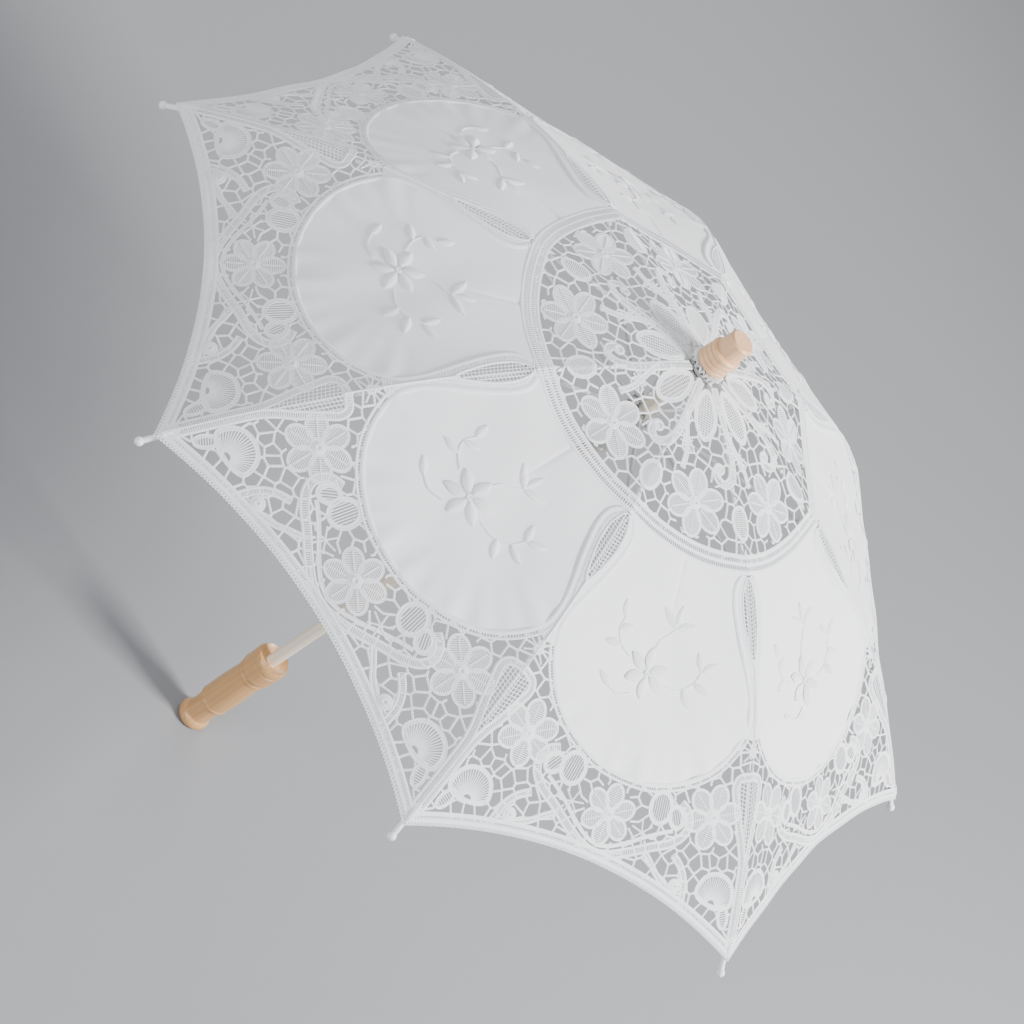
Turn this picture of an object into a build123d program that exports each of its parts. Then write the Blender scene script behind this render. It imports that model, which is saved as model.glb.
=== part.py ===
from build123d import *
import os
from math import asin, atan2, cos, degrees, radians, sin, sqrt, tan

# A lace parasol, open. Millimetres, origin at the middle of the handle's flat end, +Z up the shaft.

# Frame
RIB_COUNT = 8
RIB_STEP = 360.0 / RIB_COUNT
HALF_STEP = RIB_STEP / 2
TIP_BALL_Z = 443.4
PIVOT_RADIUS = 9.5
FABRIC_LIFT = 3.8
FABRIC_THICKNESS = 0.8
CLEARANCE = 0.3
CUT_MARGIN = 1.0

# Ribs: round wire bent to one large radius
RIB_LENGTH = 426.4
RIB_BEND_RADIUS = 700.0
RIB_ROOT_SLOPE = radians(5.8)
RIB_WIRE_RADIUS = 1.6
RIB_WIRE_START = 7.0
RIB_WIRE_END = 408.0
EYE_RADIUS = 2.3
EYE_WIDTH = 3.0
BOSS_RADIUS = 2.8
RIB_NECK_LENGTH = 9.0

# Rib tips
TIP_SLEEVE_START = 398.0
TIP_STEM_RADIUS = 2.1
TIP_BALL_RADIUS = 3.25
TIP_SOCKET_MARGIN = 2.0

# Stretchers: as long as the distance from the notch to their rivet, so they fold exactly
STRETCHER_LENGTH = 150.0
STRETCHER_WIRE_RADIUS = 1.5
FORK_INNER = 1.9
FORK_OUTER = 3.0
FORK_HALF_HEIGHT = 1.9
FORK_SLOT_DEPTH = 11.0
FORK_LENGTH = 16.0
STRETCHER_NECK_LENGTH = 10.0
FORK_CUT_MARGIN = 5.0

# Rivets
RIVET_RADIUS = 0.9
RIVET_HEAD_RADIUS = 1.9
RIVET_HEAD_HEIGHT = 0.8
RIVET_FIT = 0.06

# Ring wires that thread the eyes
RING_WIRE_RADIUS = 0.6
RING_GROOVE_HALF = 0.7
RING_GROOVE_INNER = 8.8
EYE_HOLE_RADIUS = 0.75

# Shaft, handle and finial, turned wood
SHAFT_RADIUS = 5.5
SHAFT_BOTTOM = 69.0
SHAFT_TOP = 632.5
HANDLE_HEIGHT = 113.8
FINIAL_BASE = 616.7
FINIAL_COLLAR_TOP = 634.5
FINIAL_TOP = 649.4
FINIAL_COLLAR_RADIUS = 13.0
FINIAL_BARREL_RADIUS = 10.4
FINIAL_FOOT_BEVEL = 1.2
FINIAL_COLLAR_BEVEL = 1.5
FINIAL_TOP_BEVEL = 1.4
FINIAL_GROOVES = (4.6, 8.8, 13.2)
FINIAL_GROOVE_HALF_WIDTH = 0.6
FINIAL_GROOVE_DEPTH = 0.8

# Notch and runner
HUB_RADIUS = 13.0
HUB_SLOT_INNER = 7.0
HUB_SLOT_HALF_WIDTH = 1.75
NOTCH_SLOT_ROOM = 0.2
RUNNER_SLOT_ROOM = 0.4
NOTCH_BELOW = 5.0
NOTCH_ABOVE = 3.2
RUNNER_BORE = 5.8
RUNNER_ABOVE = 4.5
RUNNER_BELOW = 5.0
SLEEVE_LENGTH = 45.0
SLEEVE_RADIUS = 8.4
LIP_RADIUS = 9.6
LIP_HEIGHT = 4.0
WINDOW_RIM = 5.0
WINDOW_INNER = 5.0
KEYWAY_RADIUS = 7.8
KEYWAY_HALF_WIDTH = 1.3

# Spring catches and the stop wire
CATCH_HALF_WIDTH = 0.75
CATCH_INNER = 1.0
CATCH_SHOULDER = 2.6
CATCH_REACH = 7.4
CATCH_HEIGHT = 17.0
CATCH_NOSE = 0.06
TOP_CATCH_GAP = 0.4
BOTTOM_CATCH_GAP = 0.5
CATCH_POCKET_INNER = -3.5
CATCH_POCKET_HALF_WIDTH = 1.0
STOP_WIRE_RADIUS = 0.8
STOP_WIRE_REACH = 7.6

# Canopy panels
PANEL_INNER = 17.0
HEM_AT_RIB = 410.0
HEM_AT_MIDDLE = 386.5
HEM_MARGIN = 6.0
PANEL_BLANK_HALF_WIDTH = 200.0
PANEL_BLANK_ABOVE = 50.0
ROSETTE_RADIUS = 15.0
ROSETTE_BASE = 612.6


def arc_point(distance, lift):
    """Out and down from the pivot, along the rib's arc, raised by lift from the wire's middle."""
    angle = RIB_ROOT_SLOPE + distance / RIB_BEND_RADIUS
    out = (RIB_BEND_RADIUS + lift) * sin(angle) - RIB_BEND_RADIUS * sin(RIB_ROOT_SLOPE)
    up = (RIB_BEND_RADIUS + lift) * cos(angle) - RIB_BEND_RADIUS * cos(RIB_ROOT_SLOPE)
    return out, up


PIVOT_Z = TIP_BALL_Z - arc_point(RIB_LENGTH, 0)[1]
RIVET_ALONG = 2 * RIB_BEND_RADIUS * asin(STRETCHER_LENGTH / (2 * RIB_BEND_RADIUS))
RIVET_OUT, RIVET_UP = arc_point(RIVET_ALONG, 0)
RUNNER_PIVOT_Z = PIVOT_Z + 2 * RIVET_UP
RUNNER_BOTTOM = RUNNER_PIVOT_Z - RUNNER_BELOW - SLEEVE_LENGTH
FOLD_ANGLE = radians(64.0)
OPEN_STRETCHER_ANGLE = atan2(-RIVET_UP, RIVET_OUT)
CLOSED_DROP = 2 * STRETCHER_LENGTH * sin(OPEN_STRETCHER_ANGLE + FOLD_ANGLE)
CLOSED_RUNNER_BOTTOM = PIVOT_Z - CLOSED_DROP - RUNNER_BELOW - SLEEVE_LENGTH


def rib_place(distance, lift=0.0):
    """A point on the rib that stands over +X."""
    out, up = arc_point(distance, lift)
    return Vector(PIVOT_RADIUS + out, 0, PIVOT_Z + up)


def rib_slope(distance):
    """Degrees below level at a distance along the rib."""
    return degrees(RIB_ROOT_SLOPE + distance / RIB_BEND_RADIUS)


def cross_pin(radius, half_width, place):
    """A round pin across the rib, along Y."""
    return Pos(place) * Rot(90, 0, 0) * Cylinder(radius, 2 * half_width)


def wire_between(start, middle, end, radius):
    """A round wire along the arc through three points of the XZ plane."""
    path = Edge.make_three_point_arc(start, middle, end)
    section = Plane(origin=start, z_dir=path % 0) * Circle(radius)
    return sweep(section, path=path)


def ring(inner, outer, low, high):
    """A flat ring about the shaft."""
    height = high - low
    body = Pos(0, 0, (low + high) / 2) * Cylinder(outer, height)
    return body - Pos(0, 0, (low + high) / 2) * Cylinder(inner, height + CUT_MARGIN)


def radial_box(inner, outer, half_width, low, high):
    """A box that runs outward over +X."""
    centre = Pos((inner + outer) / 2, 0, (low + high) / 2)
    return centre * Box(outer - inner, 2 * half_width, high - low)


def around(shape, index):
    """The same shape at one of the rib positions."""
    return Rot(0, 0, index * RIB_STEP) * shape


def turned(outline):
    """A solid turned about the shaft from a closed outline in the XZ plane."""
    face = Plane.XZ * make_face(outline)
    return revolve(face, axis=Axis.Z)


def rib():
    """Bent wire with a flattened eye at the notch and a boss for the stretcher's rivet."""
    wire = wire_between(
        rib_place(RIB_WIRE_START),
        rib_place((RIB_WIRE_START + RIB_WIRE_END) / 2),
        rib_place(RIB_WIRE_END),
        RIB_WIRE_RADIUS,
    )
    pivot = rib_place(0)
    neck = radial_box(0, RIB_NECK_LENGTH, EYE_WIDTH / 2, -RIB_WIRE_RADIUS, RIB_WIRE_RADIUS)
    neck = Pos(pivot) * Rot(0, rib_slope(RIB_WIRE_START / 2), 0) * neck
    eye = cross_pin(EYE_RADIUS, EYE_WIDTH / 2, pivot)
    boss = cross_pin(BOSS_RADIUS, RIB_WIRE_RADIUS, rib_place(RIVET_ALONG))
    holes = cross_pin(EYE_HOLE_RADIUS, EYE_WIDTH, pivot)
    holes += cross_pin(RIVET_RADIUS, EYE_WIDTH, rib_place(RIVET_ALONG))
    return wire + neck + eye + boss - holes


def rib_tip():
    """White cap pressed on the rib's end: a slim sleeve that ends in a ball."""
    sleeve = wire_between(
        rib_place(TIP_SLEEVE_START),
        rib_place((TIP_SLEEVE_START + RIB_LENGTH) / 2),
        rib_place(RIB_LENGTH),
        TIP_STEM_RADIUS,
    )
    socket = wire_between(
        rib_place(TIP_SLEEVE_START - TIP_SOCKET_MARGIN),
        rib_place((TIP_SLEEVE_START + RIB_WIRE_END) / 2),
        rib_place(RIB_WIRE_END),
        RIB_WIRE_RADIUS,
    )
    return sleeve + Pos(rib_place(RIB_LENGTH)) * Sphere(TIP_BALL_RADIUS) - socket


def rivet():
    """Headed rivet that pins a stretcher's fork to its rib."""
    place = rib_place(RIVET_ALONG)
    head_middle = FORK_OUTER + CLEARANCE / 2 + RIVET_HEAD_HEIGHT / 2
    shank = cross_pin(RIVET_RADIUS, head_middle, place)
    for side in (-1, 1):
        head_place = place + Vector(0, side * head_middle, 0)
        shank += cross_pin(RIVET_HEAD_RADIUS, RIVET_HEAD_HEIGHT / 2, head_place)
    return shank


def stretcher():
    """Straight wire with an eye at the runner and a fork that straddles the rib."""
    wire = Pos(STRETCHER_LENGTH / 2, 0, 0) * Rot(0, 90, 0)
    wire = wire * Cylinder(STRETCHER_WIRE_RADIUS, STRETCHER_LENGTH - FORK_LENGTH)
    neck = radial_box(
        0, STRETCHER_NECK_LENGTH, EYE_WIDTH / 2, -STRETCHER_WIRE_RADIUS, STRETCHER_WIRE_RADIUS
    )
    eye = cross_pin(EYE_RADIUS, EYE_WIDTH / 2, Vector(0, 0, 0))
    far = Vector(STRETCHER_LENGTH, 0, 0)
    fork_start = STRETCHER_LENGTH - FORK_LENGTH
    fork = radial_box(fork_start, STRETCHER_LENGTH, FORK_OUTER, -FORK_HALF_HEIGHT, FORK_HALF_HEIGHT)
    fork += cross_pin(FORK_HALF_HEIGHT, FORK_OUTER, far)
    slot_start = STRETCHER_LENGTH - FORK_SLOT_DEPTH
    slot_end = STRETCHER_LENGTH + FORK_CUT_MARGIN
    slot = radial_box(slot_start, slot_end, FORK_INNER, -FORK_CUT_MARGIN, FORK_CUT_MARGIN)
    holes = cross_pin(EYE_HOLE_RADIUS, EYE_WIDTH, Vector(0, 0, 0))
    holes += cross_pin(RIVET_RADIUS + RIVET_FIT, 2 * FORK_OUTER, far)
    shape = wire + neck + eye + fork - slot - holes
    place = Pos(PIVOT_RADIUS, 0, RUNNER_PIVOT_Z) * Rot(0, -degrees(OPEN_STRETCHER_ANGLE), 0)
    return place * shape


def ring_wire(height):
    """The wire that threads all eight eyes."""
    return Pos(0, 0, height) * Torus(PIVOT_RADIUS, RING_WIRE_RADIUS)


def ring_groove(height):
    """The groove that holds a ring wire."""
    low = height - RING_GROOVE_HALF
    high = height + RING_GROOVE_HALF
    return ring(RING_GROOVE_INNER, HUB_RADIUS + CUT_MARGIN, low, high)


def notch():
    """Slotted collar fixed on the shaft, where the ribs hinge. Its slots open outward and down."""
    body = ring(SHAFT_RADIUS, HUB_RADIUS, PIVOT_Z - NOTCH_BELOW, PIVOT_Z + NOTCH_ABOVE)
    slot_roof = PIVOT_Z + EYE_RADIUS + NOTCH_SLOT_ROOM
    slot_floor = PIVOT_Z - NOTCH_BELOW - CUT_MARGIN
    slot = radial_box(
        HUB_SLOT_INNER, HUB_RADIUS + CUT_MARGIN, HUB_SLOT_HALF_WIDTH, slot_floor, slot_roof
    )
    for index in range(RIB_COUNT):
        body -= around(slot, index)
    return body - ring_groove(PIVOT_Z)


def runner():
    """Sliding sleeve with a slotted head for the stretchers and a window for the spring catch."""
    head_bottom = RUNNER_PIVOT_Z - RUNNER_BELOW
    head_top = RUNNER_PIVOT_Z + RUNNER_ABOVE
    body = ring(RUNNER_BORE, HUB_RADIUS, head_bottom, head_top)
    body += ring(RUNNER_BORE, SLEEVE_RADIUS, RUNNER_BOTTOM, head_bottom)
    lip = ring(RUNNER_BORE, LIP_RADIUS, RUNNER_BOTTOM, RUNNER_BOTTOM + LIP_HEIGHT)
    body += lip
    slot = radial_box(
        HUB_SLOT_INNER,
        HUB_RADIUS + CUT_MARGIN,
        HUB_SLOT_HALF_WIDTH,
        RUNNER_PIVOT_Z - EYE_RADIUS - RUNNER_SLOT_ROOM,
        head_top + CUT_MARGIN,
    )
    for index in range(RIB_COUNT):
        body -= around(slot, index)
    body -= ring_groove(RUNNER_PIVOT_Z)
    window_bottom = RUNNER_BOTTOM + WINDOW_RIM
    window_top = head_bottom - WINDOW_RIM
    window_outer = SLEEVE_RADIUS + CUT_MARGIN
    window = radial_box(WINDOW_INNER, window_outer, KEYWAY_HALF_WIDTH, window_bottom, window_top)
    keyway = radial_box(
        WINDOW_INNER, KEYWAY_RADIUS, KEYWAY_HALF_WIDTH, window_bottom, head_top + CUT_MARGIN
    )
    return body - Rot(0, 0, HALF_STEP) * (window + keyway)


def catch_pocket(low, high):
    """The slot in the shaft that a spring catch sits in."""
    pocket = radial_box(
        CATCH_POCKET_INNER,
        SHAFT_RADIUS + CUT_MARGIN,
        CATCH_POCKET_HALF_WIDTH,
        low - CUT_MARGIN,
        high + CUT_MARGIN,
    )
    return Rot(0, 0, HALF_STEP) * pocket


def catch(foot, flat):
    """Flat steel wedge that stands out of the shaft, square at height flat and sloping to foot."""
    outline = Polyline(
        (CATCH_INNER, foot),
        (CATCH_SHOULDER, foot),
        (CATCH_REACH, flat + (foot - flat) * CATCH_NOSE),
        (CATCH_REACH, flat),
        (CATCH_INNER, flat),
        close=True,
    )
    plate = extrude(Plane.XZ * make_face(outline), amount=CATCH_HALF_WIDTH, both=True)
    return Rot(0, 0, HALF_STEP) * plate


TOP_CATCH_FLAT = RUNNER_BOTTOM - TOP_CATCH_GAP
TOP_CATCH_FOOT = TOP_CATCH_FLAT - CATCH_HEIGHT
BOTTOM_CATCH_FLAT = CLOSED_RUNNER_BOTTOM + WINDOW_RIM + BOTTOM_CATCH_GAP
BOTTOM_CATCH_FOOT = BOTTOM_CATCH_FLAT + CATCH_HEIGHT
STOP_WIRE_Z = RUNNER_PIVOT_Z + RUNNER_ABOVE + CLEARANCE + STOP_WIRE_RADIUS


def stop_wire():
    """Short wire through the shaft that the runner's head meets when the canopy is open."""
    return Pos(0, 0, STOP_WIRE_Z) * Rot(0, 0, HALF_STEP) * Rot(0, 90, 0) * Cylinder(
        STOP_WIRE_RADIUS, 2 * STOP_WIRE_REACH
    )


def shaft():
    """Round wooden dowel with two catch pockets and a hole for the stop wire."""
    body = Pos(0, 0, (SHAFT_BOTTOM + SHAFT_TOP) / 2) * Cylinder(SHAFT_RADIUS, SHAFT_TOP - SHAFT_BOTTOM)
    body -= catch_pocket(TOP_CATCH_FOOT, TOP_CATCH_FLAT)
    body -= catch_pocket(BOTTOM_CATCH_FLAT, BOTTOM_CATCH_FOOT)
    return body - stop_wire()


def handle():
    """Turned handle: foot bead, neck, long grip, small bead, cup and dished rim."""
    outline = [
        Line((0, 0), (12.6, 0)),
        ThreePointArc((12.6, 0), (14.7, 5), (12.4, 9.9)),
        Line((12.4, 9.9), (11.9, 11.0)),
        ThreePointArc((11.9, 11.0), (11.9, 20), (12.6, 31.0)),
        ThreePointArc((12.6, 31.0), (13.8, 32.3), (14.1, 35.0)),
        Line((14.1, 35.0), (13.5, 35.7)),
        Line((13.5, 35.7), (14.1, 36.4)),
        ThreePointArc((14.1, 36.4), (14.3, 60.0), (13.4, 83.6)),
        ThreePointArc((13.4, 83.6), (14.6, 85.8), (13.4, 88.0)),
        ThreePointArc((13.4, 88.0), (15.3, 90.0), (15.9, 94.0)),
        Line((15.9, 94.0), (16.0, 104.8)),
        Line((16.0, 104.8), (15.2, 105.6)),
        Line((15.2, 105.6), (16.0, 106.4)),
        ThreePointArc((16.0, 106.4), (16.1, 110.6), (14.6, HANDLE_HEIGHT)),
        ThreePointArc((14.6, HANDLE_HEIGHT), (10.0, 111.2), (SHAFT_RADIUS, 109.6)),
        Line((SHAFT_RADIUS, 109.6), (SHAFT_RADIUS, SHAFT_BOTTOM)),
        Line((SHAFT_RADIUS, SHAFT_BOTTOM), (0, SHAFT_BOTTOM)),
        Line((0, SHAFT_BOTTOM), (0, 0)),
    ]
    return turned(outline)


def finial():
    """Turned end piece: a grooved collar under a plain barrel with a bevelled top."""
    collar = FINIAL_COLLAR_RADIUS
    barrel = FINIAL_BARREL_RADIUS
    points = [
        (SHAFT_RADIUS, FINIAL_BASE),
        (collar - FINIAL_FOOT_BEVEL, FINIAL_BASE),
        (collar, FINIAL_BASE + FINIAL_FOOT_BEVEL),
    ]
    for height in FINIAL_GROOVES:
        groove = FINIAL_BASE + height
        points.append((collar, groove - FINIAL_GROOVE_HALF_WIDTH))
        points.append((collar - FINIAL_GROOVE_DEPTH, groove))
        points.append((collar, groove + FINIAL_GROOVE_HALF_WIDTH))
    points.append((collar, FINIAL_COLLAR_TOP - FINIAL_COLLAR_BEVEL))
    points.append((collar - FINIAL_COLLAR_BEVEL, FINIAL_COLLAR_TOP))
    points.append((barrel, FINIAL_COLLAR_TOP))
    points.append((barrel, FINIAL_TOP - FINIAL_TOP_BEVEL))
    points.append((barrel - FINIAL_TOP_BEVEL, FINIAL_TOP))
    points.append((0, FINIAL_TOP))
    points.append((0, SHAFT_TOP))
    points.append((SHAFT_RADIUS, SHAFT_TOP))
    return turned(Polyline(*points, close=True))


def crown_rosette():
    """Gathered cloth washer between the canopy's middle and the finial."""
    return ring(SHAFT_RADIUS, ROSETTE_RADIUS, ROSETTE_BASE, FINIAL_BASE)


def panel_profile(lift):
    """Arc of the cloth along the middle of a gore, which is flatter than the rib's."""
    points = []
    for distance in (0, HEM_AT_RIB / 2, HEM_AT_RIB + HEM_MARGIN):
        place = rib_place(distance, lift)
        points.append((place.X * cos(radians(HALF_STEP)), place.Z))
    return points


def panel_outline():
    """Half a gore seen from above: from the rib to the gore's middle, with a scalloped hem."""
    step = radians(HALF_STEP)
    corner = rib_place(HEM_AT_RIB)
    corner_out = corner.X * cos(step)
    corner_side = corner.X * sin(step)
    middle_out = rib_place(HEM_AT_MIDDLE).X * cos(step)
    depth = corner_out - middle_out
    hem_radius = (corner_side**2 + depth**2) / (2 * depth)
    hem_centre = middle_out + hem_radius
    quarter_out = hem_centre - sqrt(hem_radius**2 - (corner_side / 2) ** 2)
    gap = CLEARANCE / 2
    rib_gap = CLEARANCE / cos(step)
    inner_out = PANEL_INNER * cos(step)
    inner_side = inner_out * tan(step) - rib_gap
    return [
        Line((inner_out, gap), (middle_out, gap)),
        ThreePointArc(
            (middle_out, gap), (quarter_out, corner_side / 2), (corner_out, corner_side - rib_gap)
        ),
        Line((corner_out, corner_side - rib_gap), (inner_out, inner_side)),
        Line((inner_out, inner_side), (inner_out, gap)),
    ]


def half_gore(side):
    """Thin cloth panel on one side of the rib over +X: side 1 lies towards +Y."""
    top = panel_profile(FABRIC_LIFT + FABRIC_THICKNESS / 2)
    bottom = panel_profile(FABRIC_LIFT - FABRIC_THICKNESS / 2)
    section = [
        ThreePointArc(*top),
        Line(top[2], bottom[2]),
        ThreePointArc(*reversed(bottom)),
        Line(bottom[0], top[0]),
    ]
    cloth = extrude(Plane.XZ * make_face(section), amount=PANEL_BLANK_HALF_WIDTH, both=True)
    column = extrude(make_face(panel_outline()), amount=PIVOT_Z + PANEL_BLANK_ABOVE)
    panel = cloth & column
    if side > 0:
        panel = mirror(panel, about=Plane.XZ)
    return Rot(0, 0, side * HALF_STEP) * panel


def save(name, shape):
    """Writes one named piece."""
    solids = shape.solids()
    piece = solids[0] if len(solids) == 1 else Compound(children=list(solids))
    piece.label = name
    export_step(piece, os.path.join("parts", name + ".step"))


os.makedirs("parts", exist_ok=True)
save("handle", handle())
save("shaft", shaft())
save("finial", finial())
save("notch", notch())
save("notch_ring", ring_wire(PIVOT_Z))
save("crown_rosette", crown_rosette())
save("stop_wire", stop_wire())
save("runner", runner())
save("runner_ring", ring_wire(RUNNER_PIVOT_Z))
save("top_catch", catch(TOP_CATCH_FOOT, TOP_CATCH_FLAT))
save("bottom_catch", catch(BOTTOM_CATCH_FOOT, BOTTOM_CATCH_FLAT))

plain_rib = rib()
plain_tip = rib_tip()
plain_rivet = rivet()
plain_stretcher = stretcher()
panels = {"left": half_gore(1), "right": half_gore(-1)}
for index in range(RIB_COUNT):
    number = str(index + 1)
    save("rib_" + number, around(plain_rib, index))
    save("rib_tip_" + number, around(plain_tip, index))
    save("rivet_" + number, around(plain_rivet, index))
    save("stretcher_" + number, around(plain_stretcher, index))
    for hand, panel in panels.items():
        save("gore_" + number + "_" + hand, around(panel, index))
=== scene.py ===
import math

import bmesh
import bpy
import numpy as np
from mathutils import Matrix, Vector


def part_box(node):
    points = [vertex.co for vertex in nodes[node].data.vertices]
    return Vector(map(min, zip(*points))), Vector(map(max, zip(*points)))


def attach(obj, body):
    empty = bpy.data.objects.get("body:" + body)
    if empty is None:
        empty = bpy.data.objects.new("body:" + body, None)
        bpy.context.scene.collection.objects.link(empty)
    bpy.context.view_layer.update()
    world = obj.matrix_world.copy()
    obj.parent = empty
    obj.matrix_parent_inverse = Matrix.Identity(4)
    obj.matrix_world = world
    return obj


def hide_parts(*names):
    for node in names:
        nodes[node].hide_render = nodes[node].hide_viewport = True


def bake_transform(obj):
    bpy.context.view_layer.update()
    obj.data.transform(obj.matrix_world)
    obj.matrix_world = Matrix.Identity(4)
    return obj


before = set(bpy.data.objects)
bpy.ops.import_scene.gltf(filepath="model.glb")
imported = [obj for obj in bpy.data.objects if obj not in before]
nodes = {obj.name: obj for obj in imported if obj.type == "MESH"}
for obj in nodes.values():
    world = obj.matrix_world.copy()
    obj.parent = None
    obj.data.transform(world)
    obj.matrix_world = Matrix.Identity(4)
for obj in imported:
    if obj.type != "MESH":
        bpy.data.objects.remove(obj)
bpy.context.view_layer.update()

# ---------------------------------------------------------------------------
# Studio
# A pale matt floor under the parasol, three soft lights and the camera.
# The camera is rolled, so the shaft runs from lower left to upper right.
# ---------------------------------------------------------------------------
FLOOR_GREY = (0.24, 0.245, 0.255, 1.0)
FLOOR_SIZE = 14.0
FLOOR_DROP = 0.0005
CAMERA_PLACE = Vector((0.5869, 1.5961, 1.6343))
CAMERA_LOOK = Vector((-0.28294, -0.75763, -0.58810))
CAMERA_UP = Vector((0.66211, -0.59798, 0.45170))
CAMERA_LENS = 97.02
CAMERA_SENSOR = 36.0



def add_object(name, data):
    """Puts a mesh, lamp or camera in the scene."""
    made = bpy.data.objects.new(name, data)
    bpy.context.scene.collection.objects.link(made)
    return made


floor_mesh = bpy.data.meshes.new("floor")
floor_half = FLOOR_SIZE / 2
floor_corners = ((-1, -1), (1, -1), (1, 1), (-1, 1))
floor_mesh.from_pydata(
    [(x * floor_half, y * floor_half, -FLOOR_DROP) for x, y in floor_corners], [], [(0, 1, 2, 3)]
)
floor = add_object("floor", floor_mesh)
floor_paint = bpy.data.materials.new("studio_floor")
floor_paint.use_nodes = True
floor_shader = floor_paint.node_tree.nodes["Principled BSDF"]
floor_shader.inputs["Base Color"].default_value = FLOOR_GREY
floor_shader.inputs["Roughness"].default_value = 0.9
floor.data.materials.append(floor_paint)


def studio_light(name, place, aim, size, power, tint):
    """A square soft box that faces a point."""
    lamp = bpy.data.lights.new(name, "AREA")
    lamp.size = size
    lamp.energy = power
    lamp.color = tint
    holder = add_object(name, lamp)
    holder.location = place
    holder.rotation_euler = (Vector(aim) - Vector(place)).to_track_quat("-Z", "Y").to_euler()


studio_light(
    "key_light", (-1.9, 0.4, 2.0), aim=(0, 0, 0.5), size=0.7, power=170.0, tint=(1.0, 0.99, 0.98)
)
studio_light(
    "side_light", (1.6, 2.0, 1.4), aim=(0, 0, 0.4), size=1.4, power=52.0, tint=(0.97, 0.98, 1.0)
)
studio_light(
    "back_light", (0.2, -2.2, 1.6), aim=(0, 0, 0.45), size=1.6, power=30.0, tint=(1.0, 1.0, 1.0)
)

sky = bpy.data.worlds.new("studio_air")
sky.use_nodes = True
sky.node_tree.nodes["Background"].inputs["Color"].default_value = (0.80, 0.82, 0.86, 1.0)
sky.node_tree.nodes["Background"].inputs["Strength"].default_value = 0.55
bpy.context.scene.world = sky

camera_data = bpy.data.cameras.new("camera")
camera_data.lens = CAMERA_LENS
camera_data.sensor_width = CAMERA_SENSOR
camera = add_object("camera", camera_data)
camera_right = CAMERA_LOOK.cross(CAMERA_UP).normalized()
camera_top = camera_right.cross(CAMERA_LOOK).normalized()
camera_turn = Matrix((camera_right, camera_top, -CAMERA_LOOK.normalized())).transposed()
camera.matrix_world = Matrix.Translation(CAMERA_PLACE) @ camera_turn.to_4x4()
bpy.context.scene.camera = camera

# ---------------------------------------------------------------------------
# Handle, shaft and finial
# Turned beech: the handle is stained honey brown and varnished, the shaft is
# a plain sanded dowel, and the finial is pale bare wood with a waxed surface.
# ---------------------------------------------------------------------------


def new_group(name, inputs, outputs):
    """An empty shader node group with named sockets, and its two end nodes."""
    group = bpy.data.node_groups.new(name, "ShaderNodeTree")
    for label, kind, value in inputs:
        socket = group.interface.new_socket(label, in_out="INPUT", socket_type=kind)
        if value is not None:
            socket.default_value = value
    for label, kind in outputs:
        group.interface.new_socket(label, in_out="OUTPUT", socket_type=kind)
    start = group.nodes.new("NodeGroupInput")
    end = group.nodes.new("NodeGroupOutput")
    return group, start, end


def link(tree, source, output, target, socket):
    """Joins one output to one input."""
    tree.links.new(source.outputs[output], target.inputs[socket])


def new_node(tree, kind, **values):
    """A shader node with its plain inputs set; an underscore stands for a space in a label."""
    node = tree.nodes.new("ShaderNode" + kind)
    for label, value in values.items():
        node.inputs[label.replace("_", " ")].default_value = value
    return node


def object_texture(tree, kind, stretch=None, **values):
    """A texture laid out by the piece's own coordinates, stretched along them where asked."""
    texture = new_node(tree, kind, **values)
    place = new_node(tree, "TexCoord")
    if stretch is None:
        link(tree, place, "Object", texture, "Vector")
    else:
        spread = new_node(tree, "Mapping", Scale=stretch)
        link(tree, place, "Object", spread, "Vector")
        link(tree, spread, "Vector", texture, "Vector")
    return texture


def add_relief(tree, height, shader, strength, distance):
    """Gives a shader fine relief from a height socket."""
    bump = new_node(tree, "Bump", Strength=strength, Distance=distance)
    tree.links.new(height, bump.inputs["Height"])
    link(tree, bump, "Normal", shader, "Normal")


def toned(colour, factor):
    """The colour made darker or lighter by a factor."""
    return tuple(min(1.0, factor * value) for value in colour[:3]) + (1.0,)


def math_node(tree, operation, first, second=None, clamp=False):
    """A Math node fed by sockets or plain numbers."""
    node = tree.nodes.new("ShaderNodeMath")
    node.operation = operation
    node.use_clamp = clamp
    for index, value in enumerate((first, second)):
        if value is None:
            continue
        if isinstance(value, (int, float)):
            node.inputs[index].default_value = value
        else:
            tree.links.new(value, node.inputs[index])
    return node.outputs[0]


def colour_mix(tree, factor, first, second, blend="MIX"):
    """A colour Mix node; each colour is a socket or four numbers."""
    node = tree.nodes.new("ShaderNodeMix")
    node.data_type = "RGBA"
    node.blend_type = blend
    for index, value in ((0, factor), (6, first), (7, second)):
        if isinstance(value, (int, float, tuple)):
            node.inputs[index].default_value = value
        else:
            tree.links.new(value, node.inputs[index])
    return node.outputs[2]


def new_material(name):
    """A material with its tree and Principled shader."""
    material = bpy.data.materials.new(name)
    material.use_nodes = True
    tree = material.node_tree
    return material, tree, tree.nodes["Principled BSDF"]


def place_group(tree, group, **values):
    """Puts a group in a material with its own values."""
    node = tree.nodes.new("ShaderNodeGroup")
    node.node_tree = group
    for label, value in values.items():
        node.inputs[label.replace("_", " ").capitalize()].default_value = value
    return node


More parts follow.
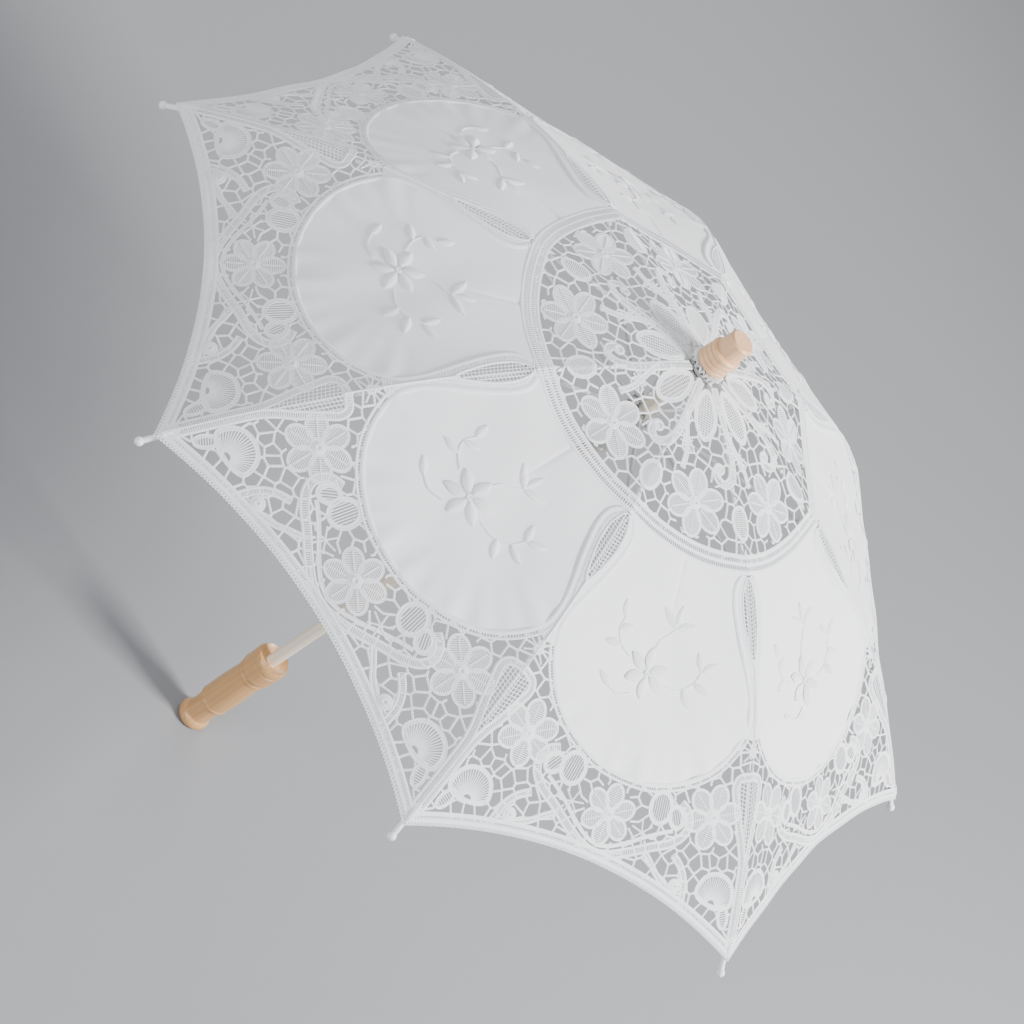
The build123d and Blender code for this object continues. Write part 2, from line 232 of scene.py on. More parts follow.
wood_grain, wood_in, wood_out = new_group(
    "wood_grain",
    [
        ("Light", "NodeSocketColor", (0.8, 0.6, 0.4, 1.0)),
        ("Dark", "NodeSocketColor", (0.5, 0.3, 0.15, 1.0)),
        ("Figure", "NodeSocketFloat", 1.0),
    ],
    [
        ("Colour", "NodeSocketColor"),
        ("Roughness shift", "NodeSocketFloat"),
        ("Height", "NodeSocketFloat"),
    ],
)
grain_noise = object_texture(
    wood_grain, "TexNoise", (95.0, 95.0, 6.0), Scale=1.0, Detail=5.0, Roughness=0.62, Distortion=0.6
)
pore_noise = object_texture(wood_grain, "TexNoise", (1400.0, 1400.0, 60.0), Scale=1.0, Detail=2.0)
ring_wave = object_texture(
    wood_grain, "TexWave", (34.0, 12.0, 1.6),
    Scale=2.2, Distortion=5.0, Detail=3.0, Detail_Scale=1.4,
)
ring_wave.wave_type = "BANDS"
ring_wave.bands_direction = "X"
ring_share = math_node(wood_grain, "MULTIPLY", ring_wave.outputs["Fac"], 0.45)
grain_share = math_node(wood_grain, "MULTIPLY", grain_noise.outputs["Fac"], 0.75)
grain_sum = math_node(wood_grain, "ADD", ring_share, grain_share)
pores = math_node(wood_grain, "LESS_THAN", pore_noise.outputs["Fac"], 0.36)
pore_share = math_node(wood_grain, "MULTIPLY", pores, 0.22)
grain_all = math_node(wood_grain, "ADD", grain_sum, pore_share)
grain_factor = math_node(wood_grain, "MULTIPLY", grain_all, wood_in.outputs["Figure"], clamp=True)
light_tone, dark_tone = wood_in.outputs["Light"], wood_in.outputs["Dark"]
grain_colour = colour_mix(wood_grain, grain_factor, light_tone, dark_tone)
wood_grain.links.new(grain_colour, wood_out.inputs["Colour"])
rough_shift = math_node(wood_grain, "MULTIPLY", grain_factor, 0.16)
wood_grain.links.new(rough_shift, wood_out.inputs["Roughness shift"])
grain_height = math_node(wood_grain, "SUBTRACT", 1.0, grain_factor)
wood_grain.links.new(grain_height, wood_out.inputs["Height"])

# Two masks from the surface's shape: convex edges for rubbed wear, and hollows for painted shade.
wear_and_hollow_shade, wear_and_shade_in, wear_and_shade_out = new_group(
    "wear_and_hollow_shade",
    [("Reach", "NodeSocketFloat", 0.6), ("Grime", "NodeSocketFloat", 0.6)],
    [("Edges", "NodeSocketFloat"), ("Hollows", "NodeSocketFloat")],
)
edge_and_hollow_shape = new_node(wear_and_hollow_shade, "NewGeometry")
wear_noise = object_texture(wear_and_hollow_shade, "TexNoise", Scale=240.0, Detail=3.0)
edge_amount = math_node(wear_and_hollow_shade, "SUBTRACT", edge_and_hollow_shape.outputs["Pointiness"], 0.53)
edge_gain = math_node(wear_and_hollow_shade, "MULTIPLY", edge_amount, 14.0, clamp=True)
edge_patchy = math_node(wear_and_hollow_shade, "MULTIPLY", edge_gain, wear_noise.outputs["Fac"])
edge_final = math_node(wear_and_hollow_shade, "MULTIPLY", edge_patchy, wear_and_shade_in.outputs["Reach"], clamp=True)
wear_and_hollow_shade.links.new(edge_final, wear_and_shade_out.inputs["Edges"])
# Painted shade: hollows are picked out so their colour can be darkened where light falls less.
hollow_amount = math_node(wear_and_hollow_shade, "SUBTRACT", 0.48, edge_and_hollow_shape.outputs["Pointiness"])
hollow_gain = math_node(wear_and_hollow_shade, "MULTIPLY", hollow_amount, 16.0, clamp=True)
hollow_final = math_node(wear_and_hollow_shade, "MULTIPLY", hollow_gain, wear_and_shade_in.outputs["Grime"], clamp=True)
wear_and_hollow_shade.links.new(hollow_final, wear_and_shade_out.inputs["Hollows"])


def wood_finish(name, light, dark, figure, roughness, coat, worn):
    """Turned wood with grain, painted shade darkening the grooves, and edges rubbed paler."""
    material, tree, shader = new_material(name)
    grain = place_group(tree, wood_grain, light=light, dark=dark, figure=figure)
    wear_and_shade = place_group(tree, wear_and_hollow_shade, reach=worn, grime=0.7)
    grain_tone = grain.outputs["Colour"]
    # Painted shade: the grooves and hollows are darkened towards a deep brown.
    shade_in_grooves = colour_mix(tree, wear_and_shade.outputs["Hollows"], grain_tone, toned(dark, 0.45))
    rubbed = colour_mix(tree, wear_and_shade.outputs["Edges"], shade_in_grooves, toned(light, 1.15))
    tree.links.new(rubbed, shader.inputs["Base Color"])
    surface = math_node(tree, "ADD", grain.outputs["Roughness shift"], roughness)
    tree.links.new(surface, shader.inputs["Roughness"])
    shader.inputs["Coat Weight"].default_value = coat
    shader.inputs["Coat Roughness"].default_value = 0.22
    add_relief(tree, grain.outputs["Height"], shader, strength=0.35, distance=0.00012)
    return material


honey_beech = wood_finish(
    "honey_beech", (0.64, 0.36, 0.14, 1.0), (0.46, 0.22, 0.075, 1.0),
    figure=0.5, roughness=0.34, coat=0.35, worn=0.5,
)
sanded_dowel = wood_finish(
    "sanded_dowel", (0.88, 0.79, 0.64, 1.0), (0.74, 0.62, 0.46, 1.0),
    figure=0.6, roughness=0.55, coat=0.0, worn=0.2,
)
pale_beech = wood_finish(
    "pale_beech", (0.80, 0.49, 0.27, 1.0), (0.66, 0.37, 0.18, 1.0),
    figure=0.5, roughness=0.48, coat=0.08, worn=0.4,
)


def finish_node(node, material):
    """Gives a carried-over piece its material."""
    nodes[node].data.materials.clear()
    nodes[node].data.materials.append(material)


finish_node("handle", honey_beech)
finish_node("shaft", sanded_dowel)
finish_node("finial", pale_beech)

# ---------------------------------------------------------------------------
# Ribs, stretchers, tips and fittings
# White-lacquered spring wire ribs and stretchers, bright steel rivets and
# ring wires, an aluminium notch and runner, and moulded white rib tips.
# ---------------------------------------------------------------------------


def metal_finish(name, colour, under, metallic, roughness, worn, speckle):
    """Lacquer or bare metal, mottled a little, with worn edges that show the metal under it and
    painted shade darkening its hollows.
    """
    material, tree, shader = new_material(name)
    mottle = object_texture(tree, "TexNoise", Scale=90.0, Detail=6.0)
    wear_and_shade = place_group(tree, wear_and_hollow_shade, reach=worn, grime=0.5)
    tone = math_node(tree, "MULTIPLY", mottle.outputs["Fac"], speckle)
    base = colour_mix(tree, tone, colour, toned(colour, 0.8))
    # Painted shade: hollows are darkened to under half the colour.
    shade_in_hollows = colour_mix(tree, wear_and_shade.outputs["Hollows"], base, toned(colour, 0.4))
    bare = colour_mix(tree, wear_and_shade.outputs["Edges"], shade_in_hollows, under)
    tree.links.new(bare, shader.inputs["Base Color"])
    shader.inputs["Metallic"].default_value = metallic
    rough = math_node(tree, "MULTIPLY", mottle.outputs["Fac"], 0.18)
    rough = math_node(tree, "ADD", rough, roughness)
    tree.links.new(rough, shader.inputs["Roughness"])
    add_relief(tree, mottle.outputs["Fac"], shader, strength=0.2, distance=0.00008)
    return material


white_lacquer = metal_finish(
    "white_lacquer", (0.84, 0.84, 0.83, 1.0), (0.45, 0.45, 0.46, 1.0),
    metallic=0.0, roughness=0.32, worn=0.5, speckle=0.3,
)
bright_steel = metal_finish(
    "bright_steel", (0.62, 0.62, 0.64, 1.0), (0.75, 0.75, 0.76, 1.0),
    metallic=1.0, roughness=0.24, worn=0.3, speckle=0.6,
)
satin_aluminium = metal_finish(
    "satin_aluminium", (0.66, 0.65, 0.62, 1.0), (0.78, 0.78, 0.78, 1.0),
    metallic=0.9, roughness=0.38, worn=0.4, speckle=0.5,
)
moulded_tip = metal_finish(
    "moulded_tip", (0.88, 0.89, 0.90, 1.0), (0.70, 0.71, 0.72, 1.0),
    metallic=0.0, roughness=0.28, worn=0.3, speckle=0.25,
)

for fitting in ("notch", "runner"):
    finish_node(fitting, satin_aluminium)
for wire in ("notch_ring", "runner_ring", "stop_wire", "top_catch", "bottom_catch"):
    finish_node(wire, bright_steel)
RIBS = 8
for number in range(1, RIBS + 1):
    finish_node(f"rib_{number}", white_lacquer)
    finish_node(f"stretcher_{number}", white_lacquer)
    finish_node(f"rivet_{number}", bright_steel)
    finish_node(f"rib_tip_{number}", moulded_tip)

# ---------------------------------------------------------------------------
# Canopy cloth: how it is laid out
# The canopy is eight gores of tape lace and cotton, stretched over the ribs.
# Each gore is drawn flat, in millimetres across and down the rib, laid on the
# ribs' arc, and parted at the rib and at its own middle.
# ---------------------------------------------------------------------------
GORE_STEP = 2 * math.pi / RIBS
HALF_GORE = GORE_STEP / 2
MM = 1000.0
RIB_BEND = 700.0
RIB_ROOT_SLOPE = math.radians(5.8)
CLOTH_LIFT = 3.8
SAG = 3.2
SAG_LENGTH = 400.0
# Each ripple: height, run across, run along, shift from gore to gore.
RIPPLES = ((0.7, 23.0, 31.0, 1.7), (0.45, 11.0, -17.0, 2.9))
RIPPLE_START, RIPPLE_GROWTH = 60.0, 120.0

pivot_low, pivot_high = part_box("notch_ring")
PIVOT_WIRE_RADIUS = 0.6
PIVOT_HEIGHT = (pivot_low.z + pivot_high.z) * MM / 2
PIVOT_OUT = pivot_high.x * MM - PIVOT_WIRE_RADIUS


def rib_out(along, lift=CLOTH_LIFT):
    """How far from the shaft the cloth is on a rib."""
    angle = RIB_ROOT_SLOPE + np.asarray(along, float) / RIB_BEND
    return PIVOT_OUT + (RIB_BEND + lift) * np.sin(angle) - RIB_BEND * math.sin(RIB_ROOT_SLOPE)


def rib_height(along, lift=CLOTH_LIFT):
    """How high the cloth is on a rib."""
    angle = RIB_ROOT_SLOPE + np.asarray(along, float) / RIB_BEND
    return PIVOT_HEIGHT + (RIB_BEND + lift) * np.cos(angle) - RIB_BEND * math.cos(RIB_ROOT_SLOPE)


def rib_across(along):
    """Half the gore's width: from its middle to the rib."""
    return rib_out(along, 0.0) * math.sin(HALF_GORE)


def lay_on_ribs(flat, gore):
    """Takes one gore's flat points (across, along, height) to the frame, in metres."""
    across, along, height = flat[:, 0], flat[:, 1], flat[:, 2]
    share = np.clip(np.abs(across) / rib_across(along), 0, 1)
    slack = 1 - share**2
    sag = -SAG * slack * np.sin(np.pi * np.clip(along / SAG_LENGTH, 0, 1))
    ripple = sum(
        tall * slack * np.sin(across / wide + along / deep + shift * gore)
        for tall, wide, deep, shift in RIPPLES
    )
    ripple *= np.clip((along - RIPPLE_START) / RIPPLE_GROWTH, 0, 1)
    lift = CLOTH_LIFT + height + sag + ripple
    out = rib_out(along, lift) * math.cos(HALF_GORE)
    across = across * rib_out(along, lift) / rib_out(along, 0.0)
    up = rib_height(along, lift)
    turn = (gore + 0.5) * GORE_STEP
    x = out * math.cos(turn) - across * math.sin(turn)
    y = out * math.sin(turn) + across * math.cos(turn)
    return np.stack([x, y, up], 1) / MM


def smooth_path(points, spacing, closed=False):
    """An even run of points on a smooth curve through the given ones."""
    knots = np.asarray(points, float)
    if closed:
        knots = np.vstack([knots[-1], knots, knots[:2]])
    else:
        knots = np.vstack([2 * knots[0] - knots[1], knots, 2 * knots[-1] - knots[-2]])
    pieces = []
    steps = np.linspace(0, 1, 12, endpoint=False)[:, None]
    for p0, p1, p2, p3 in zip(knots, knots[1:], knots[2:], knots[3:]):
        cubic = (-p0 + 3 * p1 - 3 * p2 + p3) * steps**3
        square = (2 * p0 - 5 * p1 + 4 * p2 - p3) * steps**2
        pieces.append(0.5 * (2 * p1 + (p2 - p0) * steps + square + cubic))
    pieces.append(knots[-2][None])
    dense = np.vstack(pieces)
    walked = np.concatenate([[0], np.cumsum(np.linalg.norm(np.diff(dense, axis=0), axis=1))])
    count = max(3, int(round(walked[-1] / spacing)) + 1)
    marks = np.linspace(0, walked[-1], count)
    return np.stack([np.interp(marks, walked, dense[:, i]) for i in (0, 1)], 1)


def headings(path, closed=False):
    """Unit directions ahead and to the left at each point of a path."""
    ahead = np.roll(path, -1, 0) - np.roll(path, 1, 0) if closed else np.gradient(path, axis=0)
    ahead /= np.maximum(np.linalg.norm(ahead, axis=1), 1e-9)[:, None]
    return ahead, np.stack([-ahead[:, 1], ahead[:, 0]], 1)


def direction(degrees):
    """The unit direction at an angle."""
    return np.array([math.cos(math.radians(degrees)), math.sin(math.radians(degrees))])


def new_work():
    """An empty piece of handwork: points, faces and weave coordinates."""
    return {"points": [], "faces": [], "weave": [], "count": 0}


TAPE_EDGE = 1.05
RUNG_PITCH = 1.55
TAPE_SPACING = 1.9
LADDER_WIDTH = 4.5
THREAD_FLATNESS = 0.8
SHORTEST_THREAD = 0.8
ROUND_THREAD, CORD = (
    [(math.cos(a), math.sin(a)) for a in np.linspace(0, 2 * math.pi, sides, endpoint=False)]
    for sides in (5, 7)
)
FLAT_TAPE = [(-1, 0.1), (-0.88, 0.9), (-0.6, 1.0), (-0.25, 0.55), (0.25, 0.55), (0.6, 1.0),
             (0.88, 0.9), (1, 0.1), (0.8, -0.6), (-0.8, -0.6)]


def lay_strand(
    work, path, half_width, half_height, section, base=0.0, closed=False, rise=None
):
    """Adds a thread, cord or tape along a flat path; rise lifts each point by its own amount."""
    path = np.asarray(path, float)
    if closed:
        path = path[:-1]
    count = len(path)
    side = headings(path, closed)[1]
    widths = np.broadcast_to(half_width, (count,)).astype(float)
    lifts = np.zeros(count) if rise is None else np.asarray(rise, float)
    walked = np.concatenate([[0], np.cumsum(np.linalg.norm(np.diff(path, axis=0), axis=1))])
    ring = len(section)
    points = np.zeros((count, ring, 3))
    weave = np.zeros((count, ring, 2))
    for index, (across, up) in enumerate(section):
        points[:, index, :2] = path + side * (widths * across)[:, None]
        points[:, index, 2] = base + lifts + half_height * up
        weave[:, index, 0] = walked
        weave[:, index, 1] = widths * across
    start = work["count"]
    spans = count if closed else count - 1
    for row in range(spans):
        here = start + row * ring
        there = start + ((row + 1) % count) * ring
        for index in range(ring):
            following = (index + 1) % ring
            work["faces"].append(
                (here + index, there + index, there + following, here + following)
            )
    if not closed:
        work["faces"].append(tuple(start + index for index in range(ring)))
        last = start + (count - 1) * ring
        work["faces"].append(tuple(last + index for index in reversed(range(ring))))
    work["points"].append(points.reshape(-1, 3))
    work["weave"].append(weave.reshape(-1, 2))
    work["count"] += count * ring


def beside(path, offset):
    """The path moved sideways by an offset."""
    return path + headings(path)[1] * offset


def lay_tape(work, points, width, closed=False, base=0.0):
    """A woven tape: two corded edges with a close ladder of threads between them."""
    path = smooth_path(points, TAPE_SPACING, closed)
    if closed or width < LADDER_WIDTH:
        lay_strand(work, path, width / 2, 0.55, FLAT_TAPE, base, closed)
        return
    half = width / 2 - TAPE_EDGE
    for offset in (half, -half):
        lay_strand(work, beside(path, offset), TAPE_EDGE, 0.6, CORD, base)
    marks = smooth_path(points, RUNG_PITCH)
    for mark, far in zip(beside(marks, half), beside(marks, -half)):
        lay_thread(work, mark, far, 0.5, base, 0.25)


def lay_thread(work, start, end, radius=0.42, base=0.1, bow=0.0):
    """One straight thread; bow lifts its middle."""
    start, end = np.asarray(start, float), np.asarray(end, float)
    path = np.stack([start, (start + end) / 2, end])
    flat_radius = radius * THREAD_FLATNESS
    lay_strand(work, path, radius, flat_radius, ROUND_THREAD, base, False, [0, bow, 0])


def oval(centre, long_half, wide_half, turn, count=26):
    """Closed oval of points; turn is the long way's direction in degrees."""
    angle = np.linspace(0, 2 * math.pi, count, endpoint=False)
    spin = math.radians(turn)
    run, across = long_half * np.cos(angle), wide_half * np.sin(angle)
    x = centre[0] + run * math.cos(spin) - across * math.sin(spin)
    y = centre[1] + run * math.sin(spin) + across * math.cos(spin)
    return np.stack([x, y], 1)


def lay_ring(work, centre, radius, half_width, half_height, base, count=14):
    """A closed ring of cord, such as the knot in the middle of a flower."""
    ring = oval(centre, radius, radius, 0, count)
    lay_strand(work, np.vstack([ring, ring[:1]]), half_width, half_height, CORD, base, True)


def threads_in_outline(work, outline, turn, spacing, radius=0.42, base=0.1):
    """Parallel threads that fill a closed outline, running in direction turn, in degrees."""
    along = direction(turn)
    across = np.array([-along[1], along[0]])
    ring = np.vstack([outline, outline[:1]])
    run, off = ring @ along, ring @ across
    for level in np.arange(off.min() + spacing / 2, off.max(), spacing):
        below = off < level
        crossing = np.nonzero(below[:-1] != below[1:])[0]
        share = (level - off[crossing]) / (off[crossing + 1] - off[crossing])
        hits = np.sort(run[crossing] + share * (run[crossing + 1] - run[crossing]))
        for near, far in zip(hits[::2], hits[1::2]):
            if far - near > SHORTEST_THREAD:
                start, end = along * near + across * level, along * far + across * level
                lay_thread(work, start, end, radius, base)


def inside(outline, points):
    """Which points lie inside a closed outline."""
    ring = np.vstack([outline, outline[:1]])
    found = np.zeros(len(points), bool)
    for (x1, y1), (x2, y2) in zip(ring, ring[1:]):
        crosses = (y1 > points[:, 1]) != (y2 > points[:, 1])
        height = np.where(abs(y2 - y1) < 1e-9, 1e-9, y2 - y1)
        found ^= crosses & (points[:, 0] < (x2 - x1) * (points[:, 1] - y1) / height + x1)
    return found


def whip_stitches(work, path, half_span, spacing, radius=0.32, base=0.0, arch=0.5):
    """Short threads that cross a path, such as the rungs of a ladder or a cord's whipping."""
    marks = smooth_path(path, spacing)
    for mark, across in zip(marks, headings(marks)[1]):
        reach = across * half_span
        lay_thread(work, mark - reach, mark + reach, radius, base, arch)


# ---------------------------------------------------------------------------
# Tape lace
# Machine tape lace: narrow woven tape bent into pods, scrolls and flowers, the
# shapes filled with drawn threads, and the gaps held by plaited brides.
# Drawn for the half of a gore on one side of its middle, then mirrored.
# ---------------------------------------------------------------------------
PETAL_SIDE = [(52, 149), (49.5, 158), (51.5, 170), (57.5, 184), (66, 200), (75.5, 216),
              (84.5, 233), (89.5, 249), (88.5, 263), (83.5, 277), (76, 290), (66, 301)]
PETAL_END = 325.0
PETAL_FOOT = [(66, 301), (54, 310), (38, 318), (20, 323.5), (0, PETAL_END)]
EYE_START, EYE_END = 147.0, 210.0
EYE_HALF = 7.6
POD_START, POD_WIDEST, POD_END = 288.0, 300.0, 338.0
POD_HALF = 11.0
NET_MESH = 2.9
NET_THREAD = 0.36
lace = new_work()
filling = new_work()
covered = []


def from_rib(offset, along):
    """A point measured from the rib: offset is negative towards the gore's middle."""
    return (float(rib_across(along)) + offset, along)


def eye_half_width(along):
    """Half the width of the net-filled eye that lies on each rib below the ring."""
    share = (along - EYE_START) / (EYE_END - EYE_START)
    return EYE_HALF * math.sin(math.pi * min(max(share, 0.0), 1.0) ** 0.8) ** 0.9


def pod_half_width(along):
    """Half the width of the net-filled pod on each rib in the border."""
    if along <= POD_WIDEST:
        share = (POD_WIDEST - along) / (POD_WIDEST - POD_START)
        return POD_HALF * max(0.0, 1 - share**2) ** 0.5
    return POD_HALF * max(0.0, (POD_END - along) / (POD_END - POD_WIDEST)) ** 0.75


def net_on_rib(work, half_width, start, end):
    """Square net in a shape that is symmetric about the rib."""
    for along in np.arange(start + NET_MESH / 2, end, NET_MESH):
        width = half_width(along)
        if width > 0.6:
            lay_thread(work, from_rib(-width - 0.6, along), from_rib(1.0, along), NET_THREAD, 0.0)
    for offset in np.arange(NET_MESH / 2, 16, NET_MESH):
        stretch = [along for along in np.arange(start, end, 0.5) if half_width(along) > offset]
        if len(stretch) > 3:
            rows = np.linspace(stretch[0], stretch[-1], 7)
            path = [from_rib(-offset, along) for along in rows]
            lay_strand(work, path, NET_THREAD, 0.3, ROUND_THREAD, 0.05)


# Eye and seam: the tapes fill the room between the eye and the petal, then meet
# in a seam down the rib.
petal_side_run = smooth_path(PETAL_SIDE, 1.0)
SEAM_OVERLAP = 1.6
SEAM_START, SEAM_END = 208.0, 262.0
EYE_STOPS = np.arange(EYE_START, SEAM_END, 2.0)
rib_edges = rib_across(EYE_STOPS) + np.where(EYE_STOPS > SEAM_START, SEAM_OVERLAP, 0.0)
petal_edges = np.interp(EYE_STOPS, petal_side_run[:, 1], petal_side_run[:, 0])
eye_edges = rib_edges - np.array([eye_half_width(along) for along in EYE_STOPS])
tape_half = np.maximum((eye_edges - petal_edges) / 2, 0.6)
tape_middle = np.stack([(eye_edges + petal_edges) / 2, EYE_STOPS], 1)
lay_strand(lace, tape_middle, tape_half, 0.5, FLAT_TAPE)
for mark, half in zip(tape_middle, tape_half):
    lay_thread(lace, mark - (half, 0), mark + (half, 0), 0.55, 0.35)
eye_cord = np.stack([np.minimum(eye_edges - 0.9, rib_across(EYE_STOPS)), EYE_STOPS], 1)
lay_strand(lace, eye_cord, 0.95, 0.8, CORD, 0.3)
net_on_rib(filling, eye_half_width, EYE_START + 1, EYE_END)

# Spider where the seam ends, and the pod with its net.
SPIDER_THREAD = 0.75
spider = from_rib(0, 269)
for offset, along in ((-9, 259), (-10, 268), (-9, 278), (0, 256), (0, 287)):
    lay_thread(lace, spider, from_rib(offset, along), SPIDER_THREAD)
lay_ring(lace, spider, 3.0, 1.2, 0.6, 0.1)
pod_edge = [from_rib(2.0, 284.4)] + [
    from_rib(-pod_half_width(s) - 3.8, s) for s in (288.4, 291, 295, 300, 306, 313, 320, 328, 336)
]
stem_edge = [from_rib(offset, along) for offset, along in (
    (-2.8, 346), (-2.3, 356), (-2.3, 368), (-2.3, 380), (-2.3, 392), (-2.2, 407)
)]
lay_tape(lace, pod_edge + stem_edge, 6.8)
net_on_rib(filling, pod_half_width, POD_START, POD_END)
pod_outline = [
    from_rib(-pod_half_width(s) - 7, s) for s in (288.4, 295, 300, 313, 328, 345, 360, 400)
]
covered.append(pod_outline + [from_rib(20, 400), from_rib(20, 288)])


def six_petal_flower(tapes, threads, centre, reach, long_half, wide_half, first_turn):
    """A flower of six thread-filled ovals round a small domed centre."""
    for petal_number in range(6):
        turn = first_turn + 60 * petal_number
        middle = centre + reach * direction(turn)
        lay_tape(tapes, oval(middle, long_half, wide_half, turn, 16), 2.3, True)
        threads_in_outline(threads, oval(middle, long_half, wide_half, turn), turn + 90, 1.5, 0.46)
        vein = 0.8 * long_half * direction(turn)
        lay_thread(threads, middle - vein, middle + vein, 0.5, 0.4)
    covered.append(oval(centre, reach + long_half - 1, reach + long_half - 1, 0))
    for radius, height in ((3.9, 0.1), (2.2, 0.6)):
        lay_ring(tapes, centre, radius, 1.3, 0.8, height)
    threads_in_outline(threads, oval(centre, 3.8, 3.8, 0), 30, 1.1, 0.5, 0.3)


six_petal_flower(lace, filling, (86, 325), 14.6, 9.6, 7.6, 30)
six_petal_flower(lace, filling, (0, 354), 13.4, 9.0, 7.0, 90)

# Fanned ovals under the petal, the swag that curls over them, and the hook.
for centre, long_half, wide_half, turn in (((41, 334), 11.5, 9.5, 80), ((57, 336), 8.0, 6.0, 55)):
    lay_tape(lace, oval(centre, long_half, wide_half, turn, 16), 3.8, True)
    threads_in_outline(filling, oval(centre, long_half, wide_half, turn), turn, 2.0)
    covered.append(oval(centre, long_half + 2, wide_half + 2, turn))
SWAG_TAPES = (
    (7.4, [(-2, 384), (14, 380), (30, 372), (45, 363), (58, 356), (67, 348), (70, 338), (65, 329),
           (57, 325)]),
    (3.2, [(-2, 377.5), (12, 374), (26, 366), (38, 357.5), (50, 350), (58, 346)]),
    (6.2, [(88, 396), (86, 386), (82, 375), (75, 367), (66, 361.5)]),
    (5.0, [(75, 386), (67, 384), (58, 379.5), (50, 373.5), (42, 368)]),
)
for width, stops in SWAG_TAPES:
    lay_tape(lace, stops, width)
BALL = (76, 382)
for radius, height in ((4.2, 0.1), (2.0, 0.6)):
    lay_ring(lace, BALL, radius, 1.6, 0.9, height)
covered.append(oval(BALL, 5, 5, 0))

# Spider web between the swag and the ovals.
WEB = np.array([33, 356])
for turn in range(12, 372, 60):
    lay_thread(lace, WEB, WEB + (10, 9) * direction(turn), SPIDER_THREAD)
covered.append(oval(WEB, 8, 7, 0))

# Shell with radial stitches, and the small leaf by the tip.
SHELL_FOOT = np.array([112.0, 386.0])
shell = [(97, 381), (97.5, 370), (103, 363.5), (112, 361), (121, 363.5), (127, 371), (127.5, 381),
         (112, 385)]
lay_tape(lace, shell, 3.6, True)
for mark in smooth_path(shell, 2.4, True):
    if mark[1] < 380:
        foot = SHELL_FOOT + 0.22 * (mark - SHELL_FOOT)
        lay_thread(filling, mark, foot, 0.5, 0.2)
covered.append(np.array(shell))
TIP_LEAF = (from_rib(-13, 389), 8.5, 4.0, 62)
leaf = oval(*TIP_LEAF, 14)
lay_tape(lace, leaf, 2.8, True)
threads_in_outline(filling, oval(*TIP_LEAF), 150, 1.8)
covered.append(leaf)


# Hem: two cords with a fine one and whipping between them, and a row of picots.
HEM_MIDDLE, HEM_DIP, HEM_HALF_WIDTH = 387.0, 25.0, 142.0
HEM_STOPS = (-3, 10, 30, 50, 70, 90, 108, 124, 138, 150)
PICOT = ((-0.8, -1), (-0.6, 1.2), (0.6, 1.2), (0.8, -1))


def hem_line(across, inset):
    """The scalloped hem; inset is how far in from its outer edge."""
    return (across, HEM_MIDDLE + HEM_DIP * (across / HEM_HALF_WIDTH) ** 2 - inset)


for inset, half_width, half_height in ((6.4, 1.7, 0.7), (3.4, 0.6, 0.4), (1.3, 1.6, 0.7)):
    run = smooth_path([hem_line(x, inset) for x in HEM_STOPS], 2.2)
    lay_strand(lace, run, half_width, half_height, CORD)
whip_stitches(lace, [hem_line(x, 3.5) for x in HEM_STOPS], 2.4, 1.7, 0.38)
for mark in smooth_path([hem_line(x, -0.9) for x in HEM_STOPS], 2.5):
    lay_strand(lace, smooth_path(mark + PICOT, 0.9), 0.5, 0.45, ROUND_THREAD, 0.1)


# Ring: two ladder rows between three cords, where the crown meets the petals.
RING_MIDDLE, RING_RISE, RING_HALF_WIDTH = 154.0, 10.5, 58.0
RING_STOPS = (-3, 8, 20, 32, 44, 56, 66)


def ring_line(across, inset):
    """The ring that edges the crown; inset is towards the shaft."""
    return (across, RING_MIDDLE - RING_RISE * (across / RING_HALF_WIDTH) ** 2 - inset)


for inset, half_width in ((0.6, 1.8), (7.0, 1.5), (13.2, 1.8)):
    run = smooth_path([ring_line(x, inset) for x in RING_STOPS], 2.0)
    lay_strand(lace, run, half_width, 0.6, CORD)
for inset in (3.9, 10.1):
    whip_stitches(lace, [ring_line(x, inset) for x in RING_STOPS], 2.6, 1.9, 0.5)

# Crown: a large flower in each gore, a teardrop above it, and a scroll that
# leans to one side down each rib, so the crown turns like a pinwheel.
crown = new_work()
crown_filling = new_work()
border_covered, covered = covered, []


def at_azimuth(degrees_off, along):
    """A crown point by its angle from the gore's middle."""
    reach = float(rib_out(along, 0.0)) * math.cos(HALF_GORE)
    return (reach * math.tan(math.radians(degrees_off)), along)


six_petal_flower(crown, crown_filling, (0, 110), 15.8, 11.4, 8.2, 30)
teardrop = [(0, 14), (5, 20), (8.5, 30), (9.5, 40), (6.5, 50), (0, 56), (-6.5, 50), (-9.5, 40),
            (-8.5, 30), (-5, 20)]
lay_tape(crown, teardrop, 4.2, True)
for turn, spacing in ((0, 2.1), (90, 2.6)):
    threads_in_outline(crown_filling, smooth_path(teardrop, 2.0, True), turn, spacing)
covered.append(np.array(teardrop))
SCROLL = ((0, 8), (0.4, 22), (1.2, 36), (1.6, 50), (1.0, 64), (-1.5, 76), (-6.0, 84),
          (-10.5, 82), (-11.0, 74))
OFFSHOOT = ((1.2, 40), (5.5, 52), (9.5, 64), (12.0, 76), (12.0, 88))
for rib_angle in (22.5, -22.5):
    lay_tape(crown, [at_azimuth(rib_angle + lean, along) for lean, along in SCROLL], 7.6)
    lay_tape(crown, [at_azimuth(rib_angle + lean, along) for lean, along in OFFSHOOT], 5.2)
    lay_ring(crown, at_azimuth(rib_angle - 9.5, 74), 3.4, 1.8, 0.9, 0.1)
    side_leaf = oval(at_azimuth(rib_angle, 108), 12.5, 8.0, 90 - rib_angle, 26)
    lay_tape(crown, side_leaf[::2], 3.0, True)
    threads_in_outline(crown_filling, side_leaf, -rib_angle, 1.6, 0.46)
    covered.append(side_leaf)
CROWN_WEB = np.array([-15, 67])
for turn in range(0, 360, 45):
    lay_thread(crown, CROWN_WEB, CROWN_WEB + 7 * direction(turn), 0.7)
